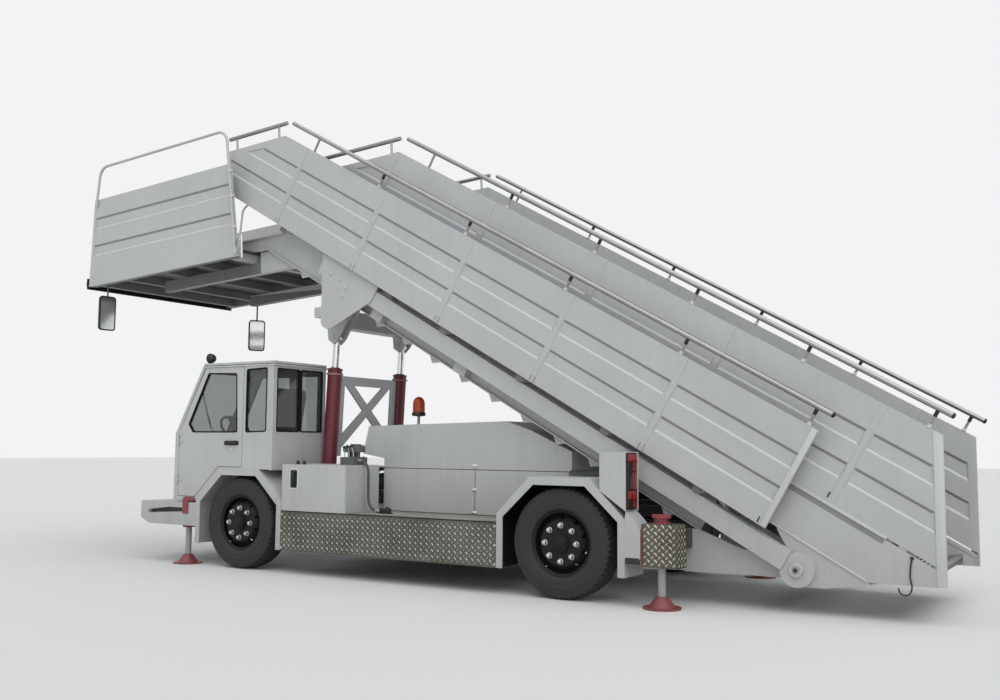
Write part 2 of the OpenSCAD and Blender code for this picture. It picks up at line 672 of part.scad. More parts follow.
module steering_column() {
    color("black") placed() {
        block([cab_front_x - 220, cab_in + wall, 1080], [cab_front_x - wall - 1, floor_y, 1240]);
        bar([cab_front_x - 200, 1110], [cab_front_x - 430, 1310], seat_y, 25);
        translate([cab_front_x - 430, seat_y, 1310]) rotate([0, -49, 0]) {
            rotate_extrude($fn = 48) translate([170, 0]) circle(r = 13, $fn = 16);
            for (k = [0 : 2])
                rotate([0, 0, k * 120]) translate([0, -12, -8]) cube([165, 24, 16]);
            cylinder(r = 40, h = 24, center = true, $fn = 32);
        }
    }
}

// Jacks: place along the vehicle, side, foot radius
jack_rear_x = -815;
jack_y = half_width - 95;
foot_r = 140;
leg_r = 29;
jack_stroke = 200;
jack_front_top = bumper_top + 80 - jack_stroke;
jack_rear_top = 595 - jack_stroke;
module jack(x, side, top) {
    translate([x, side * jack_y, 0]) {
        cylinder(r = foot_r, h = 14, $fn = 64);
        translate([0, 0, 14]) cylinder(r1 = foot_r * 0.72, r2 = leg_r + 14, h = 76, $fn = 64);
        translate([0, 0, 88]) cylinder(r = leg_r, h = top - 88, $fn = 48);
    }
}
module jack_front_left() { color("indianred") placed() jack(jack_front_x, 1, jack_front_top); }
module jack_front_right() { color("indianred") placed() jack(jack_front_x, -1, jack_front_top); }
module jack_rear_left() { color("indianred") placed() jack(jack_rear_x, 1, jack_rear_top); }
module jack_rear_right() { color("indianred") placed() jack(jack_rear_x, -1, jack_rear_top); }
jack_box = [[jack_rear_x - 155, jack_y - 90, 300], [jack_rear_x + 113, half_width - 5, deck_z + 44]];
// Red cap on the rear jack: radius, lower edge and upper edge of each step, above the box
cap_rows = [[70, 0, 12], [52, 11, 43], [70, 42, 66]];
// Outline of the front jack's lock plate on the bumper's face, from the jack and from the bumper's top
lock_plate = [[-88, -111], [-12, -111], [-12, 30], [-32, 51], [-171, 51], [-171, 13], [-88, 9]];
module jack_housings() {
    color("silver") placed() {
        sides() difference() {
            block(jack_box[0], jack_box[1]);
            cross_bar_z(jack_rear_x, jack_y, jack_box[0][2] - 50, jack_box[1][2] - 12, leg_r + 0.6);
            cross_bar_z(jack_rear_x, jack_y, jack_box[0][2] + 50, jack_box[1][2] - 12, leg_r + 6);
        }
        sides() block([jack_rear_x - 95, tail_out, 420], [jack_rear_x + 45, jack_box[0][1] + 1, 560]);
        sides() for (r = cap_rows)
            cross_bar_z(jack_rear_x, jack_y, jack_box[1][2] + r[1], jack_box[1][2] + r[2], r[0]);
        sides() difference() {
            cross_bar_z(jack_front_x, jack_y, bumper_lo + 1, jack_front_top + jack_stroke + 20, leg_r + 18);
            cross_bar_z(jack_front_x, jack_y, bumper_lo - 5, jack_front_top + jack_stroke + 10, leg_r + 0.6);
            cross_bar_z(jack_front_x, jack_y, bumper_lo + 45, jack_front_top + jack_stroke + 10, leg_r + 6);
        }
        sides() slab([for (p = lock_plate) [jack_front_x + p[0], bumper_top + p[1]]],
            half_width + seat, half_width + 9);
    }
}
tail_lamp_z = [709, 1130];
module tail_lamps() {
    color("darkred") placed() sides()
        block([post_x0 - 12, half_width - 90, tail_lamp_z[0]],
            [post_x0 - seat, half_width - 20, tail_lamp_z[1]]);
}
module head_lamps() {
    color("white") placed() sides() translate([bumper_x1, half_width - 180, bumper_top - 85])
        rotate([0, 90, 0]) cylinder(r = 55, h = 14, $fn = 48);
}
module roof_lamp() {
    color("black") placed() {
        translate([rake_x + 166, half_width - 130, cab_top_z + 65])
            rotate([0, 90, 0]) cylinder(r = 52, h = 80, center = true, $fn = 40);
        translate([rake_x - 54, half_width - 142, cab_top_z]) cube([230, 24, 18]);
        translate([rake_x + 154, half_width - 142, cab_top_z]) cube([24, 24, 30]);
    }
}
beacon_x = hood_x1 - 315;
function hood_z(x) = hood_top - (x - 830) * (hood_top - hood_front_top) / (hood_x1 - 830);
module beacon() {
    color("orange") placed() translate([beacon_x, 300, hood_z(beacon_x - 40) + seat]) {
        cylinder(r = 40, h = 10, $fn = 24);
        cylinder(r = 14, h = 95, $fn = 24);
        translate([0, 0, 94]) cylinder(r = 66, h = 30, $fn = 40);
        translate([0, 0, 123]) cylinder(r = 58, h = 120, $fn = 40);
        translate([0, 0, 242]) cylinder(r1 = 58, r2 = 34, h = 34, $fn = 40);
    }
}
valve_x = box_x0 + 50;
valve_y = half_width - 260;
module valve_block() {
    color("gray") placed() {
        block([valve_x, valve_y - 100, box_top + seat], [valve_x + 150, valve_y + 100, box_top + 70]);
        for (k = [0 : 2])
            translate([valve_x + 25 + k * 50, valve_y, box_top + 70]) cylinder(r = 18, h = 80, $fn = 24);
    }
}
// Route of the hose, back from the valve block and up from the deck
hose_route = [[-12.3, 460], [-50, 460], [-95, 430], [-115, 330], [-120, 130], [-140, 50], [-200, 22],
    [-250, 20]];
hose_y = valve_y + 25;
module hydraulic_hose() {
    color("black") placed() for (k = [0 : len(hose_route) - 2])
        hull()
            for (p = [hose_route[k], hose_route[k + 1]])
                translate([valve_x + p[0], hose_y, deck_z + p[1]]) sphere(r = 12, $fn = 12);
}

// Lift cylinders
cyl_lean = atan2(cyl_eye_x - cyl_foot_x, cyl_eye_z - cyl_foot_z);
module on_cylinder() {
    sides() translate([cyl_foot_x, cyl_y, cyl_foot_z]) rotate([0, cyl_lean, 0]) children();
}
module lift_barrels() {
    color("darkred") placed() on_cylinder() {
        difference() {
            union() {
                translate([0, 0, 74]) cylinder(r = barrel_r, h = barrel_len - 74, $fn = 64);
                translate([0, 0, 30]) cylinder(r = 44, h = 50, $fn = 48);
                for (z = [cab_floor_z - cyl_foot_z - 40, barrel_len - 45])
                    translate([0, 0, z]) cylinder(r = barrel_r + 9, h = 14, $fn = 64);
            }
            translate([0, 0, 120]) cylinder(r = rod_r + 0.4, h = barrel_len, $fn = 64);
        }
        translate([0, foot_gap - 4, 0]) rotate([90, 0, 0]) cylinder(r = 50, h = 2 * foot_gap - 8, $fn = 48);
        translate([0, foot_gap + 24, 0]) rotate([90, 0, 0])
            cylinder(r = foot_pin_r, h = 2 * foot_gap + 48, $fn = 48);
    }
}
brace_t = 20;
brace_w = 90;
brace_hi = barrel_len - 50;
brace_lo = 560;
module barrel_brace() {
    inner = cyl_y - barrel_r - 0.3;
    post = 80;
    color("whitesmoke") placed() translate([cyl_foot_x, 0, cyl_foot_z]) rotate([0, cyl_lean, 0])
        translate([-brace_t / 2, 0, 0]) rotate([90, 0, 90]) linear_extrude(brace_t) {
            translate([-inner, brace_hi - brace_w]) square([2 * inner, brace_w]);
            for (m = [-1, 1]) {
                polygon([[m * (inner - 10), brace_hi - 10], [m * (inner - 130), brace_hi - 10],
                    [-m * (inner - 10), brace_lo + 150], [-m * (inner - 10), brace_lo + 20]]);
                translate([m * (inner - post / 2) - post / 2, brace_lo]) square([post, brace_hi - brace_lo]);
            }
        }
}
module lift_rods() {
    eye = norm([cyl_eye_x - cyl_foot_x, cyl_eye_z - cyl_foot_z]);
    color("silver") placed() on_cylinder() {
        translate([0, 0, 300]) cylinder(r = rod_r, h = eye - 330, $fn = 64);
        difference() {
            translate([0, 28, eye]) rotate([90, 0, 0]) cylinder(r = 55, h = 56, $fn = 48);
            translate([0, 30, eye]) rotate([90, 0, 0]) cylinder(r = eye_bore_r, h = 60, $fn = 48);
        }
    }
}

// Shoes that carry the upper stringers: place along the slope, upper edge
shoe_lo = upper_web_lo + web_t + seat;
shoe_hi = upper_web_hi - web_t - seat;
shoe_rows = [[200, beam_hi - 30], [1900, beam_hi - 30], [beam_end_s - 870, shoe_hi],
    [beam_end_s - 150, shoe_hi]];
shoe_l = 140;
// Lifting beams of the pivoting frame, with their heel plates and the pivot tube
module lift_beams() {
    color("whitesmoke") placed() {
        for (r = shoe_rows)
            both([sl(r[0], shoe_lo), sl(r[0] + shoe_l, shoe_lo), sl(r[0] + shoe_l, r[1]), sl(r[0], r[1])],
                upper_in + web_t + 5, beam_in + 1);
        both([sl(beam_start_s, beam_lo), sl(beam_end_s, beam_lo), sl(beam_end_s, beam_hi),
            sl(beam_start_s, beam_hi)], beam_in, beam_out);
        sides() {
            cross_bar(pivot_x, pivot_z, beam_in, beam_out - 20, lug_r);
            cross_bar(pivot_x, pivot_z, beam_out - 21, beam_out, 50);
            cross_bar(pivot_x, pivot_z, beam_out - 1, beam_out + 12, 22);
        }
        both([sl(-1050, lower_web_lo), sl(-1200, 1205), sl(-1250, 1055), sl(-1420, 1020), sl(-1560, 1100),
            sl(-1820, lower_web_lo)], heel_in, beam_in + 1);
        cross_bar(pivot_x, pivot_z, -heel_in - 1, heel_in + 1, pivot_r);
    }
}
bracket_t = 18;
// Lower edge of the outer bracket plate, from the rod's eye
bracket_edge = [[-106, 102], [-123, 65], [-178, 37], [-233, 38], [-709, 262]];
// Cheek plate at the rod's eye, from the eye
cheek_edge = [[90, 255], [60, -30], [-10, -75], [-70, -20], [-240, 255]];
function from_eye(pts) = [for (p = pts) [cyl_eye_x + p[0], cyl_eye_z + p[1]]];
module cylinder_brackets() {
    color("whitesmoke") placed() {
        both([sl(eye_s + 284, beam_hi + 52), each from_eye(bracket_edge), sl(eye_s - 496, beam_hi + 52)],
            beam_out, beam_out + bracket_t);
        sides() for (y = [cyl_y - 62, cyl_y + 40])
            difference() {
                slab(from_eye(cheek_edge), y, y + 22);
                cross_bar(cyl_eye_x, cyl_eye_z, y - 1, y + 23, eye_pin_r + 0.3);
            }
        sides() cross_bar(cyl_eye_x, cyl_eye_z, cyl_y - 70, cyl_y + 70, eye_pin_r);
        x0 = cyl_eye_x - 178;
        x1 = cyl_eye_x - 8;
        block([x0, -cyl_y + 40, cyl_eye_z + 75], [x1, cyl_y - 40, cyl_eye_z + 245]);
        block_both([x0, cyl_y - 62, cyl_eye_z + 155], [x1, beam_out + 1, cyl_eye_z + 253]);
    }
}

// Pressed fields of the side panels: start down from the panel's top and width, for each row
field_rows = [[208, 132], [480, 132]];
field_depth = 9;
strip_w = 45;
strip_t = 2.5;
// Section of a field on one face of a panel, from a to b; out is that face's y and dir its outward way
function field_cut(a, b, out, dir) = [[out + dir, a - 1], [out - dir * field_depth, a + field_depth],
    [out - dir * field_depth, b - field_depth], [out + dir, b + 1]];
// A prism along the slope from s0 to s1, with its section in y and n
module along_slope(s0, s1, section) {
    rotate([0, -slope_deg, 0]) translate([s0, 0, 0]) rotate([90, 0, 90])
        linear_extrude(s1 - s0) polygon(section);
}
// A prism across the slope from n0 to n1, with its section in s and y
module across_slope(n0, n1, section) {
    rotate([0, -slope_deg, 0]) translate([0, 0, n0]) linear_extrude(n1 - n0) polygon(section);
}
// Hollows of a panel between y0 and y1, below top_n, in the fields between the seams, within the outline
module pressed_fields(y0, y1, top_n, seams, outline) {
    d = field_depth;
    gap = strip_w / 2 + 4;
    intersection() {
        for (r = field_rows)
            for (face = [[y1, 1], [y0, -1]])
                along_slope(seams[0], seams[len(seams) - 1],
                    field_cut(top_n - r[0] - r[1], top_n - r[0], face[0], face[1]));
        for (k = [0 : len(seams) - 2]) {
            a = seams[k] + gap;
            b = seams[k + 1] - gap;
            across_slope(top_n - panel_h, top_n, [[a, y1 + 1], [a + d, y1 - d], [a + d, y0 + d], [a, y0 - 1],
                [b, y0 - 1], [b - d, y0 + d], [b - d, y1 - d], [b, y1 + 1]]);
        }
        slab(outline, y0 - 2, y1 + 2);
    }
}
// Cover strips over the seams of a panel, on both of its faces
module cover_strips(y0, y1, top_n, seams) {
    for (k = [1 : len(seams) - 2])
        for (y = [y0 - strip_t, y1 - 1])
            across_slope(top_n - panel_h, top_n, [[seams[k] - strip_w / 2, y], [seams[k] + strip_w / 2, y],
                [seams[k] + strip_w / 2, y + strip_t + 1], [seams[k] - strip_w / 2, y + strip_t + 1]]);
}

// Lower flight
lower_o = sl(lower_landing_s, lower_nose_n);
lower_landing_len = 500;
// Place where the lower edge n of the stringer meets its foot
function foot_x(n, z) = -(n - z * cos(slope_deg)) / sin(slope_deg);
module lower_stringers() {
    x0 = lower_end_x + 14;
    z0 = lower_cut_z;
    color("whitesmoke") placed() sides() difference() {
        slab([[x0, z0], [foot_x(lower_web_lo, z0), z0], [2330, slz(2330, lower_web_lo)], lv(lower_o, 430, 20),
            lv(lower_o, 0, 60), [x0, slz(x0, lower_web_hi)]], lower_half - flange, lower_half);
        slab([[x0 + 20, z0 + web_t], [foot_x(lower_web_lo + web_t, z0), z0 + web_t],
            sl(sls(2300, lower_web_lo), lower_web_lo + web_t),
            sl(sls(1900, lower_web_hi), lower_web_hi - web_t - 40),
            [x0 + 20, slz(x0, lower_web_hi) - 20]], lower_half - flange - 1, lower_half - web_t);
    }
}
tread_d = 296;
tread_t = 40;
module tread(o, half) {
    slab([lv(o, 0, 0), lv(o, 0, -tread_t - 12), lv(o, 6, -tread_t - 12), lv(o, 6, -6), lv(o, tread_d - 6, -6),
        lv(o, tread_d - 6, -tread_t), lv(o, tread_d, -tread_t), lv(o, tread_d, 0)], -half, half);
}
module landing_plate(o, len, lip, half) {
    slab([lv(o, 0, 0), lv(o, 0, -tread_t - 12), lv(o, 6, -tread_t - 12), lv(o, 6, -6), lv(o, len - 6, -6),
        lv(o, len - 6, -lip), lv(o, len, -lip), lv(o, len, 0)], -half, half);
}
module lower_treads() {
    color("silver") placed() {
        for (k = [1 : lower_steps])
            tread(sl(lower_landing_s - k * tread_pitch, lower_nose_n), lower_half - web_t - seat);
        landing_plate(lower_o, lower_landing_len, 12, lower_half - flange - seat);
    }
}
lower_panel_top = lower_panel_n + panel_h;
lower_foot_places = [-1900, -900, 100, 1100, 2100];
lower_foot_l = 60;
lower_peak = [lower_peak_x, slz(lower_peak_x, lower_panel_top)];
lower_seams = [-2300, -1310, -81, 1148, 2377, 3606, 4300];
// Outline that the fields of the lower panels keep within
lower_field_line = [[lower_end_x + 65, lower_cut_z], [lower_front_x - 60, slz(lower_front_x, lower_web_lo)],
    lv(lower_peak, lower_front_x - lower_peak_x - 60, -60), lv(lower_peak, 0, -60),
    [lower_end_x + 65, slz(lower_end_x, lower_panel_top)]];
lower_panel_line = [[lower_end_x, lower_cut_z], [lower_end_x + 13, lower_cut_z],
    [lower_end_x + 13, slz(lower_end_x + 13, lower_panel_n)],
    [lower_peak_x - 60, slz(lower_peak_x - 60, lower_panel_n)], lv(lower_o, 0, 65), lv(lower_o, 560, 25),
    [2600, slz(2600, lower_web_lo)], [lower_front_x, slz(lower_front_x, lower_web_lo)],
    lv(lower_peak, lower_front_x - lower_peak_x, 0), lower_peak,
    [lower_end_x, slz(lower_end_x, lower_panel_top)]];
module lower_panels() {
    color("whitesmoke") placed() sides() {
        for (s = lower_foot_places)
            slab([sl(s, lower_web_hi + seat), sl(s + lower_foot_l, lower_web_hi + seat),
                sl(s + lower_foot_l, lower_panel_n + 1), sl(s, lower_panel_n + 1)],
                lower_half - flange, lower_half - 2);
        difference() {
            union() {
                slab(lower_panel_line, lower_half - panel_t, lower_half);
                intersection() {
                    cover_strips(lower_half - panel_t, lower_half, lower_panel_top, lower_seams);
                    slab(lower_panel_line, lower_half - panel_t - strip_t, lower_half + strip_t);
                }
            }
            pressed_fields(lower_half - panel_t, lower_half, lower_panel_top, lower_seams, lower_field_line);
        }
    }
}
// Rail posts: distance along the slope from the lower end of the rail
lower_posts = [101, 1069, 2042, 3005, 3975, 4935];
upper_posts = [117, 1217, 2358, 3494, 4599, 5523];
// A rail above a panel's top edge top_n: x0 is its lower end, peak and front the corners of the panel's top
module handrail(y, top_n, x0, peak, front, posts) {
    rail_n = top_n + rail_lift;
    drop = rail_lift - 18;
    s0 = sls(x0, rail_n);
    bar(sl(s0, rail_n), sl(sls(peak - 100, rail_n), rail_n), y, rail_r);
    for (p = posts)
        bar(sl(s0 + p, top_n), sl(s0 + p, rail_n), y, post_r);
    o = [peak, slz(peak, top_n)];
    bar(lv(o, -20, drop), lv(o, front - peak - 20, drop), y, rail_r);
    for (u = [90, front - peak - 120])
        bar(lv(o, u, 0), lv(o, u, drop), y, post_r);
}
module lower_handrails() {
    color("silver") placed() sides()
        handrail(lower_half - panel_t / 2, lower_panel_top, rail_end_x, lower_peak_x, lower_front_x,
            lower_posts);
}

// Upper flight, which slides along the slope
upper_o = sl(upper_landing_s, upper_nose_n);
upper_landing_len = 760;
bracket_places = [-480, 400, 1300, 2200, 4420];
bracket_l = 70;
support_u0 = -480;
support_u1 = 1500;
support_in = upper_in - 90;
// Outline of the upper stringer, drawn in by t
function upper_web(t) = [sl(upper_web_end_s - t, upper_web_lo + t), upper_corner(upper_web_lo + t, t - 42),
    lv(upper_o, upper_landing_len - t, t - 42), lv(upper_o, upper_landing_len - t, 100 - t),
    upper_corner(upper_web_hi - t, 100 - t), sl(upper_web_end_s - t, upper_web_hi - t)];
// Where the slope line n meets the upper landing's line w
function upper_corner(n, w) = lv(upper_o,
    (upper_nose_n + w * cos(slope_deg + tread_tilt) - n) / sin(slope_deg + tread_tilt), w);
gusset_rise = 58;
arm_lo = beam_hi + 12;
arm_hi = upper_web_hi - web_t - seat;
module upper_frame() {
    color("whitesmoke") placed() sides() {
        difference() {
            slab(upper_web(0), upper_in, upper_out);
            slab(upper_web(web_t), upper_in + web_t, upper_out + 1);
        }
        for (k = [1 : upper_steps])
            slab([sl(upper_landing_s - k * tread_pitch + 30, upper_web_lo),
                sl(upper_landing_s - k * tread_pitch + 120, upper_web_lo - gusset_rise),
                sl(upper_landing_s - k * tread_pitch + 190, upper_web_lo)], upper_in, upper_in + 10);
        for (s = bracket_places) {
            slab([sl(s, arm_lo), sl(s + bracket_l, arm_lo), sl(s + bracket_l, arm_hi), sl(s, arm_hi)],
                upper_in + web_t + seat, upper_half - panel_t - seat);
            slab([sl(s, arm_lo), sl(s + bracket_l, arm_lo), sl(s + bracket_l, upper_panel_n + 30),
                sl(s, upper_panel_n + 30)], upper_half - panel_t - 12, upper_half - panel_t - seat);
        }
        slab([pl(support_u0, -120), pl(support_u1, -120), pl(support_u1, -seat), pl(support_u0, -seat)],
            support_in, support_in + 80);
        slab([pl(support_u0, -120), pl(40, -120), pl(40, 95), pl(-330, 95)],
            support_in + 79, upper_in - seat);
    }
}
module upper_treads() {
    color("silver") placed() {
        for (k = [1 : upper_steps])
            tread(sl(upper_landing_s - k * tread_pitch, upper_nose_n), upper_in - 0.3);
        landing_plate(upper_o, upper_landing_len, tread_t, upper_in - 0.3);
    }
}
upper_panel_top = upper_panel_n + panel_h;
upper_peak = [upper_peak_x, slz(upper_peak_x, upper_panel_top)];
upper_module = 1116;
upper_seams = [for (k = [0 : 6]) upper_end_s + k * upper_module];
upper_panel_line = [sl(upper_end_s, upper_panel_n), [upper_front_x, slz(upper_front_x, upper_panel_n)],
    lv(upper_peak, upper_front_x - upper_peak_x, 0), upper_peak, sl(upper_end_s, upper_panel_top)];
// Outline that the fields of the upper panels keep within
upper_field_line = [sl(upper_end_s + 30, upper_panel_n),
    [upper_front_x - 40, slz(upper_front_x - 40, upper_panel_n)],
    lv(upper_peak, upper_front_x - upper_peak_x - 40, -60), lv(upper_peak, 0, -60),
    sl(upper_end_s + 30, upper_panel_top)];
module upper_panels() {
    color("whitesmoke") placed() sides() difference() {
        union() {
            slab(upper_panel_line, upper_half - panel_t, upper_half);
            intersection() {
                cover_strips(upper_half - panel_t, upper_half, upper_panel_top, upper_seams);
                slab(upper_panel_line, upper_half - panel_t - strip_t, upper_half + strip_t);
            }
        }
        pressed_fields(upper_half - panel_t, upper_half, upper_panel_top, upper_seams, upper_field_line);
    }
}
upper_rail_x = -2017;
module upper_handrails() {
    color("silver") placed() sides()
        handrail(upper_half - panel_t / 2, upper_panel_top, upper_rail_x, upper_peak_x, upper_front_x,
            upper_posts);
}

// Platform, which slides forward
plat_cross = [120, 620, 1120, 1700, 2140];
// Mirrors under the platform: place along it, across it, drop to the mirror's middle, turn to the driver
mirror_rows = [[2170, 900, 293, 3], [1730, -950, 418, 30]];
mirror_w = 200;
mirror_h = 380;
mirror_t = 24;
mirror_round = 40;
// Outline of a w by h plate with rounded corners
function rounded(w, h, r) = [for (q = [0 : 3]) for (a = [0 : 15 : 90])
    [(q == 0 || q == 3 ? 1 : -1) * (w / 2 - r) + r * cos(q * 90 + a),
        (q < 2 ? 1 : -1) * (h / 2 - r) + r * sin(q * 90 + a)]];
module hanging_mirror(u, y, drop, turn) {
    o = pl(u, 0);
    translate([o[0], y, o[1]]) {
        translate([0, 0, mirror_h / 2 - drop - 10]) cylinder(r = 9, h = drop - mirror_h / 2 + 15, $fn = 24);
        translate([0, 0, -drop]) rotate([0, 0, -turn]) translate([-mirror_t / 2, 0, 0])
            rotate([90, 0, 90]) linear_extrude(mirror_t) polygon(rounded(mirror_w, mirror_h, mirror_round));
    }
}
module platform_frame() {
    inner = platform_half - panel_t - seat;
    end_u = platform_len - 6;
    front_u = end_u + buffer_t;
    floor_hi = floor_w + floor_t;
    color("silver") placed() {
        for (r = mirror_rows)
            hanging_mirror(r[0], r[1], r[2], r[3]);
        slab([pl(60, floor_w), pl(end_u, floor_w), pl(end_u, floor_hi), pl(60, floor_hi)], -inner, inner);
        slab([pl(-350, floor_w), pl(61, floor_w), pl(61, floor_hi - 4), pl(-350, floor_hi - 4)],
            -upper_in + 20, upper_in - 20);
        both([pl(10, 0), pl(end_u, 0), pl(end_u, floor_w), pl(10, floor_w)], inner - 60, inner);
        for (u = plat_cross)
            slab([pl(u, 0), pl(u + 60, 0), pl(u + 60, floor_w), pl(u, floor_w)], -inner + 59, inner - 59);
        slab([pl(end_u + seat, -20), pl(front_u, -20), pl(front_u, floor_hi), pl(end_u + seat, floor_hi)],
            -platform_half, platform_half);
    }
}
// Pressed fields of the platform's panels: start down from the top and width
plat_field_rows = [[200, 132], [505, 126]];
// A prism along the platform from u0 to u1, with its section in y and w
module along_platform(u0, u1, section) {
    translate([plat_x, 0, plat_z]) rotate([0, tread_tilt, 0]) translate([u0, 0, 0])
        rotate([90, 0, 90]) linear_extrude(u1 - u0) polygon(section);
}
module platform_panels() {
    color("whitesmoke") placed() sides() difference() {
        slab([pl(0, 0), pl(platform_len - 6, 0), pl(platform_len - 110, platform_h), pl(80, platform_h)],
            platform_half - panel_t, platform_half);
        intersection() {
            for (r = plat_field_rows)
                for (face = [[platform_half, 1], [platform_half - panel_t, -1]])
                    along_platform(0, platform_len,
                        field_cut(platform_h - r[0] - r[1], platform_h - r[0], face[0], face[1]));
            slab([pl(40, 0), pl(platform_len - 46, 0), pl(platform_len - 150, platform_h),
                pl(120, platform_h)], platform_half - panel_t - 2, platform_half + 2);
        }
    }
}
hoop_w = 1310;
hoop_r = 14;
module platform_hoops() {
    color("silver") placed() sides()
        tube([pl(15, 20), pl(110, hoop_w), pl(platform_len - 230, hoop_w),
            pl(platform_len - 150, platform_h - 80)], platform_half + hoop_r, hoop_r, 130);
}

chassis_frame();
front_bumper();
front_axle();
rear_axle();
engine_block();
engine_hood();
front_fenders();
rear_bodywork();
side_skirts();
side_boxes();
deck_plates();
cab_floor();
cab_front();
cab_rear();
cab_roof();
cab_side_outer();
cab_side_inner();
cab_glazing();
driver_seat();
steering_column();
jack_housings();
tail_lamps();
head_lamps();
roof_lamp();
beacon();
valve_block();
hydraulic_hose();
cab_door();
door_glass();
jack_front_left();
jack_front_right();
jack_rear_left();
jack_rear_right();
knuckle_left();
knuckle_right();
tyre_front_left();
tyre_front_right();
tyre_rear_left();
tyre_rear_right();
rim_front_left();
rim_front_right();
rim_rear_left();
rim_rear_right();
lift_barrels();
barrel_brace();
lift_rods();
lift_beams();
cylinder_brackets();
lower_stringers();
lower_treads();
lower_panels();
lower_handrails();
upper_frame();
upper_treads();
upper_panels();
upper_handrails();
platform_frame();
platform_panels();
platform_hoops();
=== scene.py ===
"""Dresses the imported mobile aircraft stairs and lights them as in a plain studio.

Lengths are metres in the frame's own axes: x forward, y to the vehicle's left, z up,
with the origin on the ground below the middle of the machine.
"""

import logging
import math
from collections.abc import Sequence
from dataclasses import dataclass, field
from enum import Enum
from itertools import pairwise, product

import bmesh
import bpy
from mathutils import Matrix, Vector


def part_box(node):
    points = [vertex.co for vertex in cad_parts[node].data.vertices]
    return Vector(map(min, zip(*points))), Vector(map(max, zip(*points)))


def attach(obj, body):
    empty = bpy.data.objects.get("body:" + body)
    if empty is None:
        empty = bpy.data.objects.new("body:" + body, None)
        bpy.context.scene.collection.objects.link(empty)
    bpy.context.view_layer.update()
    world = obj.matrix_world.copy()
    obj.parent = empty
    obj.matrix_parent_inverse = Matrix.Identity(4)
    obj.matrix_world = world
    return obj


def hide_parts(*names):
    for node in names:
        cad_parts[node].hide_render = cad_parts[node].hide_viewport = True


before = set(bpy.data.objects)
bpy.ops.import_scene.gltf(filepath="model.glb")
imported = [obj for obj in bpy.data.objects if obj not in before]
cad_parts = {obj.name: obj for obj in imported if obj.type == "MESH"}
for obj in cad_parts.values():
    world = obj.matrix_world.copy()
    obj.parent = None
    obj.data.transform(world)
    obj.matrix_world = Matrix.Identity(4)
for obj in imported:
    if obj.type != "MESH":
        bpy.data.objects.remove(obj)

log = logging.getLogger("stairs")

MM = 0.001
# Edges that turn by more than this are rounded, and edges that turn by more than the second stay crisp
ROUNDED_EDGE = math.radians(35)
CRISP_EDGE = math.radians(32)
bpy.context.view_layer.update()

Point = Sequence[float]
Flat = tuple[float, float]
Colour = tuple[float, float, float, float]


def linear(hex_colour: str) -> Colour:
    """Turns an sRGB hex colour into the linear values that the shaders take.

    Args:
        hex_colour: Six hex digits, such as "C8CACB".

    Returns:
        Linear red, green and blue, with an alpha of 1.
    """
    channels = [int(hex_colour[i:i + 2], 16) / 255 for i in (0, 2, 4)]
    bent = [c / 12.92 if c <= 0.04045 else ((c + 0.055) / 1.055) ** 2.4 for c in channels]
    return (*bent, 1.0)


def per_metre(size_mm: float) -> float:
    """Gives a noise's scale from the real size of its features."""
    return 1 / (size_mm * MM)


def wave_scale(pitch_mm: float) -> float:
    """Gives a wave's scale from the real pitch of its bands; a scale of 1 has 20 turns in tau metres."""
    return math.tau / 20 / (pitch_mm * MM)


def add(tree: bpy.types.NodeTree, kind: str, settings: dict[str, object] | None = None,
        inputs: dict[str | int, object] | None = None) -> bpy.types.Node:
    """Adds one shader node with its settings, values and links.

    Inputs that share a name go by number: a MapRange maps from 1 and 2 to 3 and 4, a Mix blends colours
    6 and 7 by its 0, and a Math node's operands are 0, 1 and 2.

    Args:
        tree: The tree that gets the node.
        kind: The node's type without its "ShaderNode" prefix.
        settings: Properties of the node by name.
        inputs: Values or other nodes' output sockets, by input name or number.

    Returns:
        The new node.
    """
    made = tree.nodes.new("ShaderNode" + kind)
    for name, value in (settings or {}).items():
        setattr(made, name, value)
    for name, value in (inputs or {}).items():
        if isinstance(value, bpy.types.NodeSocket):
            tree.links.new(value, made.inputs[name])
        else:
            made.inputs[name].default_value = value
    return made


@dataclass(frozen=True)
class Finish:
    """A surface finish that becomes one shared material, with the record's slot for it."""

    name: str
    slot: str = ""

    def material(self) -> bpy.types.Material:
        """Gives the finish's material, and makes it the first time.

        Returns:
            The shared material.
        """
        known = bpy.data.materials.get(self.name)
        if known:
            return known
        made = bpy.data.materials.new(self.name)
        made.use_nodes = True
        made.node_tree.nodes.clear()
        shader = self.shade(made.node_tree)
        add(made.node_tree, "OutputMaterial", inputs={"Surface": shader.outputs[0]})
        return made

    def shade(self, tree: bpy.types.NodeTree) -> bpy.types.Node:
        """Builds the finish's nodes.

        Args:
            tree: The material's empty tree.

        Returns:
            The surface shader.
        """
        raise NotImplementedError


